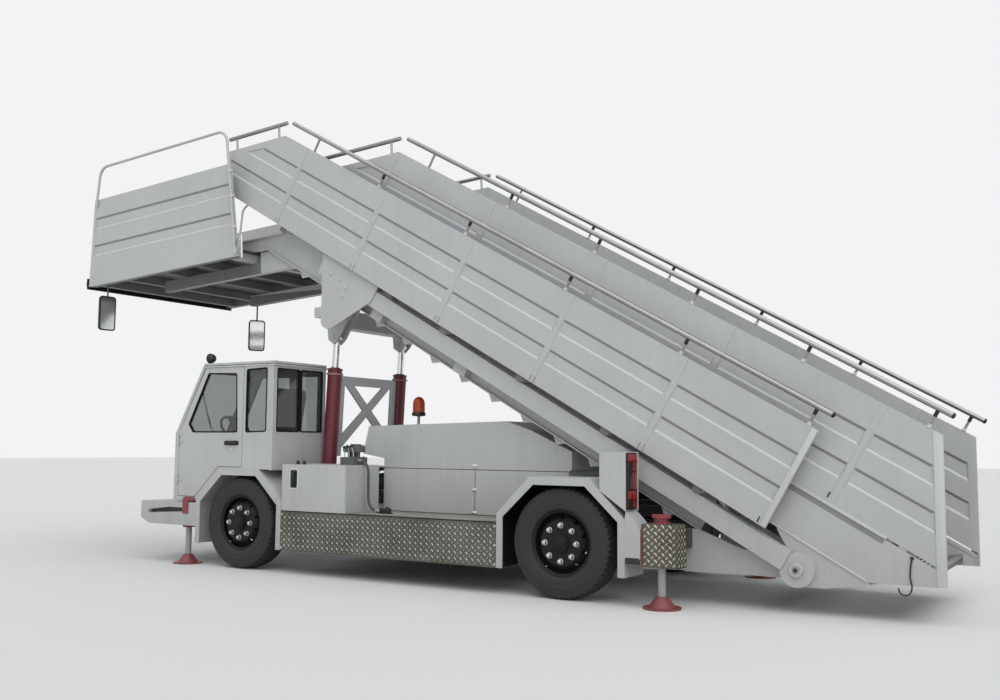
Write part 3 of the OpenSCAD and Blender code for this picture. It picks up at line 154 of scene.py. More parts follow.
@dataclass(frozen=True)
class PaintedSteel(Finish):
    """Sheet steel with sprayed alkyd enamel: satin, a little wavy, dusty low down."""

    colour: str = "BCBEBE"
    dirt: str = "6E675C"
    bare: str = "55504A"
    roughness: float = 0.42
    grime: float = 0.35
    splash_top: float = 1.0
    # Broad fading, runs of dirt, specks and the sheet's own waves
    fading_mm: float = 770.0
    run_mm: tuple[float, float, float] = (71.4, 71.4, 1111.0)
    speck_mm: float = 16.67
    wave_mm: float = 385.0
    sheet_wave_mm: float = 1.2
    edge_mm: float = 3.0
    gloss: float = 0.5

    def shade(self, tree: bpy.types.NodeTree) -> bpy.types.Node:
        """Builds enamel with broad fading, runs of dirt, road splash and worn edges."""
        place = add(tree, "TexCoord").outputs["Object"]
        height = add(tree, "SeparateXYZ", inputs={0: place}).outputs["Z"]
        broad = add(tree, "TexNoise",
                    inputs={"Vector": place, "Scale": per_metre(self.fading_mm),
                            "Detail": 4.0, "Roughness": 0.6})
        runs_at = add(tree, "Mapping", inputs={0: place, "Scale": [per_metre(mm) for mm in self.run_mm]})
        runs = add(tree, "TexNoise",
                   inputs={"Vector": runs_at.outputs[0], "Scale": 1.0, "Detail": 5.0, "Roughness": 0.65})
        fine = add(tree, "TexNoise",
                   inputs={"Vector": place, "Scale": per_metre(self.speck_mm),
                           "Detail": 6.0, "Roughness": 0.7})
        splash = add(tree, "MapRange", inputs={0: height, 1: 0.15, 2: self.splash_top, 3: 1.0, 4: 0.0})
        run_mask = add(tree, "MapRange", inputs={0: runs.outputs[0], 1: 0.5, 2: 0.8, 3: 0.0, 4: 1.0})
        low_mask = add(tree, "Math", {"operation": "MULTIPLY"}, {0: splash.outputs[0], 1: fine.outputs[0]})
        run_share = add(tree, "Math", {"operation": "MULTIPLY_ADD"},
                        {0: run_mask.outputs[0], 1: 0.28, 2: low_mask.outputs[0]})
        mask = add(tree, "Math", {"operation": "MULTIPLY", "use_clamp": True},
                   {0: run_share.outputs[0], 1: self.grime})
        fade = add(tree, "MapRange", inputs={0: broad.outputs[0], 1: 0.3, 2: 0.7, 3: 0.93, 4: 1.03})
        faded = add(tree, "Mix", {"data_type": "RGBA", "blend_type": "MULTIPLY"},
                    {0: 1.0, 6: linear(self.colour), 7: fade.outputs[0]})
        dirty = add(tree, "Mix", {"data_type": "RGBA"},
                    {0: mask.outputs[0], 6: faded.outputs[2], 7: linear(self.dirt)})
        rounded = add(tree, "Bevel", {"samples": 4}, {"Radius": self.edge_mm * MM})
        flat = add(tree, "NewGeometry").outputs["Normal"]
        turn = add(tree, "VectorMath", {"operation": "DOT_PRODUCT"}, {0: rounded.outputs[0], 1: flat})
        edge = add(tree, "MapRange", inputs={0: turn.outputs["Value"], 1: 0.99, 2: 0.85, 3: 0.0, 4: 1.0})
        chips = add(tree, "MapRange", inputs={0: fine.outputs[0], 1: 0.56, 2: 0.62, 3: 0.0, 4: 0.7})
        worn = add(tree, "Math", {"operation": "MULTIPLY"}, {0: edge.outputs[0], 1: chips.outputs[0]})
        final = add(tree, "Mix", {"data_type": "RGBA"},
                    {0: worn.outputs[0], 6: dirty.outputs[2], 7: linear(self.bare)})
        rough = add(tree, "MapRange", inputs={0: broad.outputs[0], 1: 0.3, 2: 0.7,
                                              3: self.roughness - 0.06, 4: self.roughness + 0.1})
        wave = add(tree, "TexNoise",
                   inputs={"Vector": place, "Scale": per_metre(self.wave_mm), "Detail": 1.0})
        bump = add(tree, "Bump", inputs={"Height": wave.outputs[0], "Distance": self.sheet_wave_mm * MM,
                                         "Strength": 1.0, "Normal": rounded.outputs[0]})
        return add(tree, "BsdfPrincipled", inputs={
            "Base Color": final.outputs[2], "Roughness": rough.outputs[0], "IOR": 1.5,
            "Specular IOR Level": self.gloss, "Normal": bump.outputs[0]})


@dataclass(frozen=True)
class BareMetal(Finish):
    """Metal left bare, rolled or drawn: a soft streaky gloss with dull marks."""

    colour: str = "B4B4B0"
    tarnish: str = "6F6D68"
    roughness: float = 0.38
    tarnish_share: float = 0.35
    patch_mm: float = 333.0
    # Length and width of the drawing lines, and how deep they are
    line_mm: tuple[float, float, float] = (83.3, 2.78, 2.78)
    line_depth_mm: float = 0.1

    def shade(self, tree: bpy.types.NodeTree) -> bpy.types.Node:
        """Builds metal with drawing lines along x and patches of oxide."""
        place = add(tree, "TexCoord").outputs["Object"]
        broad = add(tree, "TexNoise",
                    inputs={"Vector": place, "Scale": per_metre(self.patch_mm),
                            "Detail": 5.0, "Roughness": 0.65})
        lines_at = add(tree, "Mapping", inputs={0: place, "Scale": [per_metre(mm) for mm in self.line_mm]})
        lines = add(tree, "TexNoise", inputs={"Vector": lines_at.outputs[0], "Scale": 1.0, "Detail": 3.0})
        patches = add(tree, "MapRange", inputs={0: broad.outputs[0], 1: 0.42, 2: 0.68,
                                                3: 0.0, 4: self.tarnish_share})
        colour = add(tree, "Mix", {"data_type": "RGBA"},
                     {0: patches.outputs[0], 6: linear(self.colour), 7: linear(self.tarnish)})
        rough = add(tree, "MapRange", inputs={0: lines.outputs[0], 1: 0.3, 2: 0.7,
                                              3: self.roughness - 0.08, 4: self.roughness + 0.12})
        bump = add(tree, "Bump", inputs={"Height": lines.outputs[0], "Distance": self.line_depth_mm * MM,
                                         "Strength": 0.5})
        return add(tree, "BsdfPrincipled", inputs={"Base Color": colour.outputs[2], "Metallic": 1.0,
                                                   "Roughness": rough.outputs[0], "Normal": bump.outputs[0]})


@dataclass(frozen=True)
class Rubber(Finish):
    """Vulcanised rubber: near black and dull, with pale dust where it rubs the road."""

    colour: str = "151516"
    dust: str = "4A4640"
    roughness: float = 0.78
    dust_share: float = 0.3
    cloud_mm: float = 111.0
    grain_mm: float = 4.5

    def shade(self, tree: bpy.types.NodeTree) -> bpy.types.Node:
        """Builds dull black rubber with dust and a fine moulded grain."""
        place = add(tree, "TexCoord").outputs["Object"]
        cloud = add(tree, "TexNoise",
                    inputs={"Vector": place, "Scale": per_metre(self.cloud_mm),
                            "Detail": 6.0, "Roughness": 0.7})
        dust = add(tree, "MapRange",
                   inputs={0: cloud.outputs[0], 1: 0.45, 2: 0.75, 3: 0.0, 4: self.dust_share})
        colour = add(tree, "Mix", {"data_type": "RGBA"},
                     {0: dust.outputs[0], 6: linear(self.colour), 7: linear(self.dust)})
        grain = add(tree, "TexNoise",
                    inputs={"Vector": place, "Scale": per_metre(self.grain_mm), "Detail": 2.0})
        bump = add(tree, "Bump", inputs={"Height": grain.outputs[0], "Distance": 0.4 * MM, "Strength": 0.4})
        return add(tree, "BsdfPrincipled", inputs={
            "Base Color": colour.outputs[2], "Roughness": self.roughness, "IOR": 1.52,
            "Specular IOR Level": 0.15, "Normal": bump.outputs[0]})


@dataclass(frozen=True)
class MouldedPlastic(Finish):
    """Injection-moulded plastic: even, with a fine spark-eroded grain."""

    colour: str = "1B1B1C"
    roughness: float = 0.5
    grain_mm: float = 1.2
    wear_mm: float = 83.0

    def shade(self, tree: bpy.types.NodeTree) -> bpy.types.Node:
        """Builds plastic with a light grain and slight wear of the gloss."""
        place = add(tree, "TexCoord").outputs["Object"]
        grain = add(tree, "TexNoise",
                    inputs={"Vector": place, "Scale": per_metre(self.grain_mm), "Detail": 1.0})
        wear = add(tree, "TexNoise",
                   inputs={"Vector": place, "Scale": per_metre(self.wear_mm), "Detail": 4.0})
        rough = add(tree, "MapRange", inputs={0: wear.outputs[0], 1: 0.3, 2: 0.7,
                                              3: self.roughness - 0.08, 4: self.roughness + 0.1})
        bump = add(tree, "Bump", inputs={"Height": grain.outputs[0], "Distance": 0.1 * MM, "Strength": 0.4})
        return add(tree, "BsdfPrincipled", inputs={"Base Color": linear(self.colour), "IOR": 1.46,
                                                   "Roughness": rough.outputs[0], "Normal": bump.outputs[0]})


@dataclass(frozen=True)
class FloatGlass(Finish):
    """Toughened float glass: clear with a green cast, lightly dusty."""

    colour: str = "BEC4C3"
    dust: str = "9A958B"
    dust_share: float = 0.10
    cloud_mm: float = 143.0

    def shade(self, tree: bpy.types.NodeTree) -> bpy.types.Node:
        """Builds a clear pane with a film of dust over it."""
        place = add(tree, "TexCoord").outputs["Object"]
        pane = add(tree, "BsdfPrincipled", inputs={"Base Color": linear(self.colour), "Roughness": 0.02,
                                                   "IOR": 1.5, "Transmission Weight": 1.0})
        film = add(tree, "BsdfDiffuse", inputs={"Color": linear(self.dust)})
        cloud = add(tree, "TexNoise",
                    inputs={"Vector": place, "Scale": per_metre(self.cloud_mm), "Detail": 6.0})
        share = add(tree, "MapRange", inputs={0: cloud.outputs[0], 1: 0.35, 2: 0.75,
                                              3: 0.3 * self.dust_share, 4: self.dust_share})
        return add(tree, "MixShader", inputs={0: share.outputs[0], 1: pane.outputs[0], 2: film.outputs[0]})


@dataclass(frozen=True)
class LampLens(Finish):
    """Moulded acrylic lens: coloured right through, glossy, ribbed inside."""

    colour: str = "8E1216"
    rib_mm: float = 11.9
    glow: float = 0.35

    def shade(self, tree: bpy.types.NodeTree) -> bpy.types.Node:
        """Builds a glossy coloured lens with ribs in its bump."""
        place = add(tree, "TexCoord").outputs["Object"]
        ribs = add(tree, "TexWave", {"wave_type": "BANDS", "bands_direction": "Z"},
                   {"Vector": place, "Scale": wave_scale(self.rib_mm), "Distortion": 0.0})
        bump = add(tree, "Bump",
                   inputs={"Height": ribs.outputs["Fac"], "Distance": 0.5 * MM, "Strength": 0.5})
        return add(tree, "BsdfPrincipled", inputs={"Base Color": linear(self.colour), "Roughness": 0.16,
                                                   "IOR": 1.49, "Subsurface Weight": self.glow,
                                                   "Subsurface Radius": (0.02, 0.01, 0.01),
                                                   "Normal": bump.outputs[0]})


@dataclass(frozen=True)
class WovenCloth(Finish):
    """Woven seat cloth: dark and matt, with a visible plain weave."""

    colour: str = "24262B"
    thread_mm: float = 7.9

    def shade(self, tree: bpy.types.NodeTree) -> bpy.types.Node:
        """Builds cloth with two crossing sets of threads, drawn coarse enough to show."""
        place = add(tree, "TexCoord").outputs["Object"]
        scale = wave_scale(self.thread_mm)
        warp = add(tree, "TexWave", {"bands_direction": "Y"}, {"Vector": place, "Scale": scale})
        weft = add(tree, "TexWave", {"bands_direction": "Z"}, {"Vector": place, "Scale": scale})
        both = add(tree, "Math", {"operation": "MULTIPLY"}, {0: warp.outputs["Fac"], 1: weft.outputs["Fac"]})
        bump = add(tree, "Bump", inputs={"Height": both.outputs[0], "Distance": 0.5 * MM, "Strength": 0.7})
        return add(tree, "BsdfPrincipled", inputs={"Base Color": linear(self.colour), "Roughness": 0.9,
                                                   "Sheen Weight": 0.3, "Normal": bump.outputs[0]})


# Sprayed enamel gives an even satin skin with broad soft highlights, duller where dust and splash lie
ENAMEL = PaintedSteel("pale_grey_enamel_on_steel", "white_paint")
ENAMEL_LOW = PaintedSteel("pale_grey_enamel_splashed", "white_paint", grime=0.6)
# Lighter, cleaner enamel: the own colour of trim, and painted highlight on the lower bends of the fields,
# the panels' edges, the lift brace and the fenders' rear slopes
ENAMEL_TRIM_AND_HIGHLIGHT = PaintedSteel("pale_grey_enamel_on_trim_and_painted_highlight", "white_paint", colour="C9CBCB", grime=0.15)
# Darker enamel: painted shade on the upper bends of the pressed fields and on the web below the lower
# panels, with some dirt
ENAMEL_PAINTED_SHADE = PaintedSteel("pale_grey_enamel_with_painted_shade", "white_paint", colour="8C8E8F", dirt="5A564E",
                            grime=0.5)
# Darker grey under the platform's floor and on the upper frame's arms: painted shade, with dirt
UNDERFRAME_PAINTED_SHADE = PaintedSteel("grey_enamel_with_painted_shade_under_floor", "white_paint", colour="767672", dirt="45413A",
                          roughness=0.6, grime=0.8)
ARCH_LINER = PaintedSteel("bitumen_undercoat_in_arches", "white_paint", colour="191919", dirt="3C3832",
                          roughness=0.8, grime=0.5, sheet_wave_mm=2.0, gloss=0.1)
CHASSIS_BLACK = PaintedSteel("chassis_black_enamel", "frame_paint", colour="2E2F30", dirt="5A5348",
                             roughness=0.6, grime=0.9)
LIFT_RED = PaintedSteel("dark_red_enamel_on_barrel", "red_paint", colour="6E2A31", dirt="4A3A38",
                        grime=0.3, sheet_wave_mm=0.3)
COLLAR_PINK = PaintedSteel("faded_red_enamel_on_collar", "red_paint", colour="B07A7E", dirt="6A5552",
                           grime=0.3, sheet_wave_mm=0.2)
FOOT_RED = PaintedSteel("red_enamel_on_jack", "jack_paint", colour="8C3238", dirt="5C4A44", grime=0.7,
                        sheet_wave_mm=0.3)
LEG_GREY = PaintedSteel("grey_enamel_on_jack_leg", "jack_paint", colour="A3A4A4", dirt="6A655D", grime=0.4,
                        sheet_wave_mm=0.2)
RIM_BLACK = PaintedSteel("black_enamel_on_disc_wheel", "black_paint", colour="111213", dirt="2E2A26",
                         roughness=0.55, grime=0.4, sheet_wave_mm=0.3, gloss=0.25)
# Black enamel of the fittings; also painted shade in the recesses of the corner boxes and the bumper, and in
# the panels' slots
BLACK_FITTING_AND_PAINTED_SHADE = PaintedSteel("black_enamel_on_fitting_and_painted_shade", "black_paint", colour="1C1D1E", dirt="47423B",
                             roughness=0.45, grime=0.3, sheet_wave_mm=0.2)
# Bare metal gives streaked highlights along the way that it was rolled or drawn, and dull oxide patches
TREAD_ALLOY = BareMetal("rolled_aluminium_tread_plate", "checker_plate", colour="6F6E69", tarnish="4C4943",
                        roughness=0.52, tarnish_share=0.6)
TREAD_TOP = BareMetal("rubbed_tops_of_tread_plate", "checker_plate", colour="A9A8A2", tarnish="77736B",
                      roughness=0.36)
TREAD_TOP_DUSTY = BareMetal("dusty_tops_of_tread_plate", "checker_plate", colour="BDB8A8", tarnish="8C8573",
                            roughness=0.42)
NOSE_ALLOY = BareMetal("extruded_aluminium_step_nose", "checker_plate", colour="9A9A97", tarnish="66645F",
                       roughness=0.4, line_mm=(2.78, 83.3, 2.78))
RAIL_ALLOY = BareMetal("drawn_aluminium_tube", "rail_tube", colour="9FA0A1", tarnish="747473",
                       roughness=0.42)
ROD_CHROME = BareMetal("hard_chrome_on_rod", "polished_rod", colour="D5D5D6", tarnish="A0A09E",
                       roughness=0.12, tarnish_share=0.2)
NUT_ZINC = BareMetal("zinc_plated_nut", "polished_rod", colour="D2D1CD", tarnish="9A9892", roughness=0.26)
# Cast iron under thin paint gives a dull grey with grime in its hollows
CAST_GREY = PaintedSteel("grey_cast_iron", "cast_grey", colour="5B5D5E", dirt="40392F", roughness=0.7,
                         grime=0.8)
# Rubber gives a near black that swallows light, with pale dust
TYRE_RUBBER = Rubber("tyre_rubber", "tyre_rubber", colour="0E0E0F", dust="35322E", dust_share=0.22)
# Black rubber of seals and joints; also painted shadow along the skirts' top and painted shade in the gap at
# the upper flight's arms
SEAL_RUBBER_AND_PAINTED_SHADE = Rubber("window_seal_rubber_and_painted_shade", "hose_rubber", colour="101011", dust_share=0.12, roughness=0.6)
HOSE_RUBBER = Rubber("hydraulic_hose_rubber", "hose_rubber", dust_share=0.2, roughness=0.6)
HOSE_SLEEVE = Rubber("grey_sleeve_of_hydraulic_hose", "hose_rubber", colour="555657", dust="6E6A62",
                     dust_share=0.3, roughness=0.55)
# Glass and silvered glass give clear reflections with a little dust over them
CAB_GLASS = FloatGlass("toughened_cab_glass", "glass")
MIRROR_GLASS = BareMetal("silvered_mirror_glass", "polished_rod", colour="DADCDD", tarnish="B4B6B6",
                         roughness=0.09, tarnish_share=0.15, line_depth_mm=0.0)
# Moulded plastic gives an even soft sheen; lenses are deeper in colour and glossy
BLACK_PLASTIC = MouldedPlastic("black_moulded_abs", "black_plastic")
SMOKED_LENS = LampLens("smoked_acrylic_lens", "red_lens", colour="1E0B0C", glow=0.0)
RED_LENS = LampLens("red_acrylic_lens", "red_lens")
AMBER_LENS = LampLens("amber_acrylic_dome", "amber_lens", colour="B8430A")
CLEAR_LENS = LampLens("clear_lamp_lens", "clear_lens", colour="D8DADA", glow=0.1)
# Cloth gives a matt dark surface with its weave in it
SEAT_CLOTH = WovenCloth("woven_seat_cloth", "seat_cloth")


class Body(Enum):
    """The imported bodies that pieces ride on."""

    CHASSIS = "chassis"
    DOOR = "door"
    STAIRS = "stair_frame"
    UPPER = "upper_flight"
    PLATFORM = "platform"
    BARRELS = "barrels"
    WHEEL_FL = "wheel_fl"
    WHEEL_FR = "wheel_fr"
    WHEEL_RL = "wheel_rl"
    WHEEL_RR = "wheel_rr"


@dataclass
class Dressing:
    """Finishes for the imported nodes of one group."""

    nodes: dict[str, Finish] = field(default_factory=dict)

    def dress(self) -> None:
        """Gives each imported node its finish."""
        for name, finish in self.nodes.items():
            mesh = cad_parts[name].data
            mesh.materials.clear()
            mesh.materials.append(finish.material())
            log.info("dressed %s in %s", name, finish.name)


@dataclass
class Region:
    """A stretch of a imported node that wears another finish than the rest."""

    node: str
    finish: Finish
    lo: Point = (-9000.0, 0.0, -9000.0)
    hi: Point = (9000.0, 9000.0, 9000.0)
    on_platform: bool = False
    # Place in side view that the faces have to look towards
    towards: Flat | None = None

    def dress(self) -> None:
        """Lays the finish on the faces whose middles lie between lo and hi, on both sides."""
        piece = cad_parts[self.node]
        mesh = piece.data
        mesh.materials.append(self.finish.material())
        number = len(mesh.materials) - 1
        to_drawing = (platform_side(0.0) if self.on_platform else drawing()).inverted() @ piece.matrix_world
        count = 0
        for face in mesh.polygons:
            at = to_drawing @ face.center
            at = (at.x, abs(at.z), at.y) if self.on_platform else (at.x, abs(at.y), at.z)
            if self.towards and not self.looks_towards(at, face.normal):
                continue
            if all(lo <= value <= hi for lo, value, hi in zip(self.lo, at, self.hi)):
                face.material_index = number
                count += 1
        log.info("dressed %d faces of %s in %s", count, self.node, self.finish.name)

    def looks_towards(self, at: Point, normal: Vector) -> bool:
        """Tells whether a face at a place looks towards the region's point in side view."""
        return (self.towards[0] - at[0]) * normal.x + (self.towards[1] - at[2]) * normal.z > 1.0


def corner_names(stem: str) -> list[str]:
    """Gives the four nodes of a thing that stands at each corner of the chassis."""
    return [f"{stem}_{end}_{side}" for end in ("front", "rear") for side in ("left", "right")]


DRESSINGS = [
    Dressing({name: ENAMEL_LOW for name in (
        "front_bumper", "front_fenders", "rear_bodywork", "side_boxes", "cab_front", "cab_side_outer",
        "cab_side_inner", "cab_door", "cab_rear", "cab_roof", "engine_hood")}),
    # The lift brace wears the lighter enamel as painted light
    Dressing({"barrel_brace": ENAMEL_TRIM_AND_HIGHLIGHT}),
    Dressing({name: ENAMEL for name in (
        "lift_beams", "cylinder_brackets", "lower_stringers", "lower_panels", "upper_frame", "upper_panels",
        "platform_panels", "platform_hoops")}),
    Dressing({name: CHASSIS_BLACK for name in (
        "chassis_frame", "front_axle", "rear_axle", "knuckle_left", "knuckle_right", "cab_floor")}),
    Dressing({name: TREAD_ALLOY for name in (
        "side_skirts", "deck_plates", "jack_housings", "lower_treads", "upper_treads", "platform_frame")}),
    Dressing({name: RAIL_ALLOY for name in ("lower_handrails", "upper_handrails")}),
    Dressing({name: TYRE_RUBBER for name in corner_names("tyre")}),
    Dressing({name: RIM_BLACK for name in corner_names("rim")}),
    Dressing({name: FOOT_RED for name in corner_names("jack")}),
    Dressing({"lift_barrels": LIFT_RED, "lift_rods": ROD_CHROME, "engine_block": CAST_GREY,
              "valve_block": CAST_GREY, "hydraulic_hose": HOSE_RUBBER, "cab_glazing": CAB_GLASS,
              "door_glass": CAB_GLASS, "tail_lamps": RED_LENS, "head_lamps": CLEAR_LENS,
              "roof_lamp": BLACK_PLASTIC, "beacon": AMBER_LENS, "driver_seat": SEAT_CLOTH,
              "steering_column": BLACK_PLASTIC}),
]


X, Y, Z = (1.0, 0.0, 0.0), (0.0, 1.0, 0.0), (0.0, 0.0, 1.0)
REAR_AXLE_X = sum(corner.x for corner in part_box("rim_rear_left")) / 2
SLOPE = math.radians(29.4)
TILT = math.radians(3.6)
UP_SLOPE = (math.cos(SLOPE), 0.0, math.sin(SLOPE))
OFF_SLOPE = (-math.sin(SLOPE), 0.0, math.cos(SLOPE))
FORWARD = (math.cos(TILT), 0.0, -math.sin(TILT))
UPWARD = (math.sin(TILT), 0.0, math.cos(TILT))


def drawing(origin: Point = (0.0, 0.0, 0.0), along: Point = X, across: Point = Y, out: Point = Z) -> Matrix:
    """Gives the frame of a drawing on a flat face.

    Args:
        origin: The drawing's zero, in millimetres from the rear axle's point on the ground.
        along: Way of the drawing's first measure.
        across: Way of its second measure.
        out: Way out of the face.

    Returns:
        The matrix from the drawing's millimetres to the frame's metres.
    """
    turn = Matrix([Vector(way) for way in (along, across, out)]).transposed().to_4x4()
    move = Matrix.Translation(Vector((REAR_AXLE_X, 0.0, 0.0)) + Vector(origin) * MM)
    return move @ Matrix.Scale(MM, 4) @ turn


def side_face(y: float) -> Matrix:
    """Frame of a drawing on an upright side face at y: forward, up, out."""
    return drawing((0.0, y, 0.0), X, Z, Y)


def slope_face(y: float) -> Matrix:
    """Frame of a drawing on a stair's side at y: up the slope, off the slope, out."""
    return drawing((0.0, y, 0.0), UP_SLOPE, OFF_SLOPE, Y)


def platform_side(y: float) -> Matrix:
    """Frame of a drawing on the platform's side at y: forward along the floor, up, out."""
    return drawing((PLAN.platform_at[0], y, PLAN.platform_at[1]), FORWARD, UPWARD, Y)


def slope_top(s: float, n: float) -> Matrix:
    """Frame of a tilted step whose nose is at s and n of the slope: forward, left, up."""
    origin = [s * UP_SLOPE[k] + n * OFF_SLOPE[k] for k in range(3)]
    return drawing(origin, FORWARD, Y, UPWARD)


def offset(outline: Sequence[Flat], room: float) -> list[Flat]:
    """Moves every side of a convex outline outward.

    Args:
        outline: Corners in order, either way round.
        room: How far outward; below zero is inward.

    Returns:
        The corners of the moved outline.
    """
    count = len(outline)
    area = sum(outline[k][0] * outline[(k + 1) % count][1] - outline[(k + 1) % count][0] * outline[k][1]
               for k in range(count))
    sign = 1.0 if area > 0 else -1.0
    moved = []
    for k in range(count):
        before, here, after = (Vector(outline[(k + j) % count]) for j in (-1, 0, 1))
        first, second = (here - before).normalized(), (after - here).normalized()
        normals = [Vector((way.y, -way.x)) * sign for way in (first, second)]
        middle = (normals[0] + normals[1]).normalized()
        moved.append(tuple(here + middle * room / max(0.3, middle.dot(normals[0]))))
    return moved


def rounded(outline: Sequence[Flat], radius: float, steps: int = 5) -> list[Flat]:
    """Rounds the corners of a convex outline.

    Args:
        outline: Corners in order.
        radius: Radius of every corner.
        steps: Points on each corner, less one.

    Returns:
        The points of the rounded outline.
    """
    points: list[Flat] = []
    count = len(outline)
    for k in range(count):
        before, here, after = (Vector(outline[(k + j) % count]) for j in (-1, 0, 1))
        back, on = (before - here).normalized(), (after - here).normalized()
        half = back.angle(on) / 2
        reach = min(radius / math.tan(half), 0.45 * min((before - here).length, (after - here).length))
        start, end = here + back * reach, here + on * reach
        for j in range(steps + 1):
            t = j / steps
            points.append(tuple(start * (1 - t) ** 2 + here * 2 * t * (1 - t) + end * t ** 2))
    return points


def rectangle(lo: Flat, hi: Flat) -> list[Flat]:
    """Gives the corners of an upright rectangle."""
    return [(lo[0], lo[1]), (hi[0], lo[1]), (hi[0], hi[1]), (lo[0], hi[1])]


def level_rectangle(lo: Flat, hi: Flat, level: float) -> list[Point]:
    """Gives the corners of a rectangle that lies at a level."""
    return [(a, b, level) for a, b in rectangle(lo, hi)]


def smooth(path: Sequence[Point], steps: int = 6) -> list[Vector]:
    """Draws a smooth curve through points.

    Args:
        path: Points that the curve passes.
        steps: Points on each stretch.

    Returns:
        The points of the curve.
    """
    knots = [Vector(p) for p in path]
    knots = [2 * knots[0] - knots[1], *knots, 2 * knots[-1] - knots[-2]]
    curve = []
    for k in range(1, len(knots) - 2):
        a, b, c, d = knots[k - 1:k + 3]
        for j in range(steps):
            t = j / steps
            curve.append(0.5 * (2 * b + (c - a) * t + (2 * a - 5 * b + 4 * c - d) * t ** 2
                                + (3 * b - a - 3 * c + d) * t ** 3))
    return [*curve, knots[-2]]


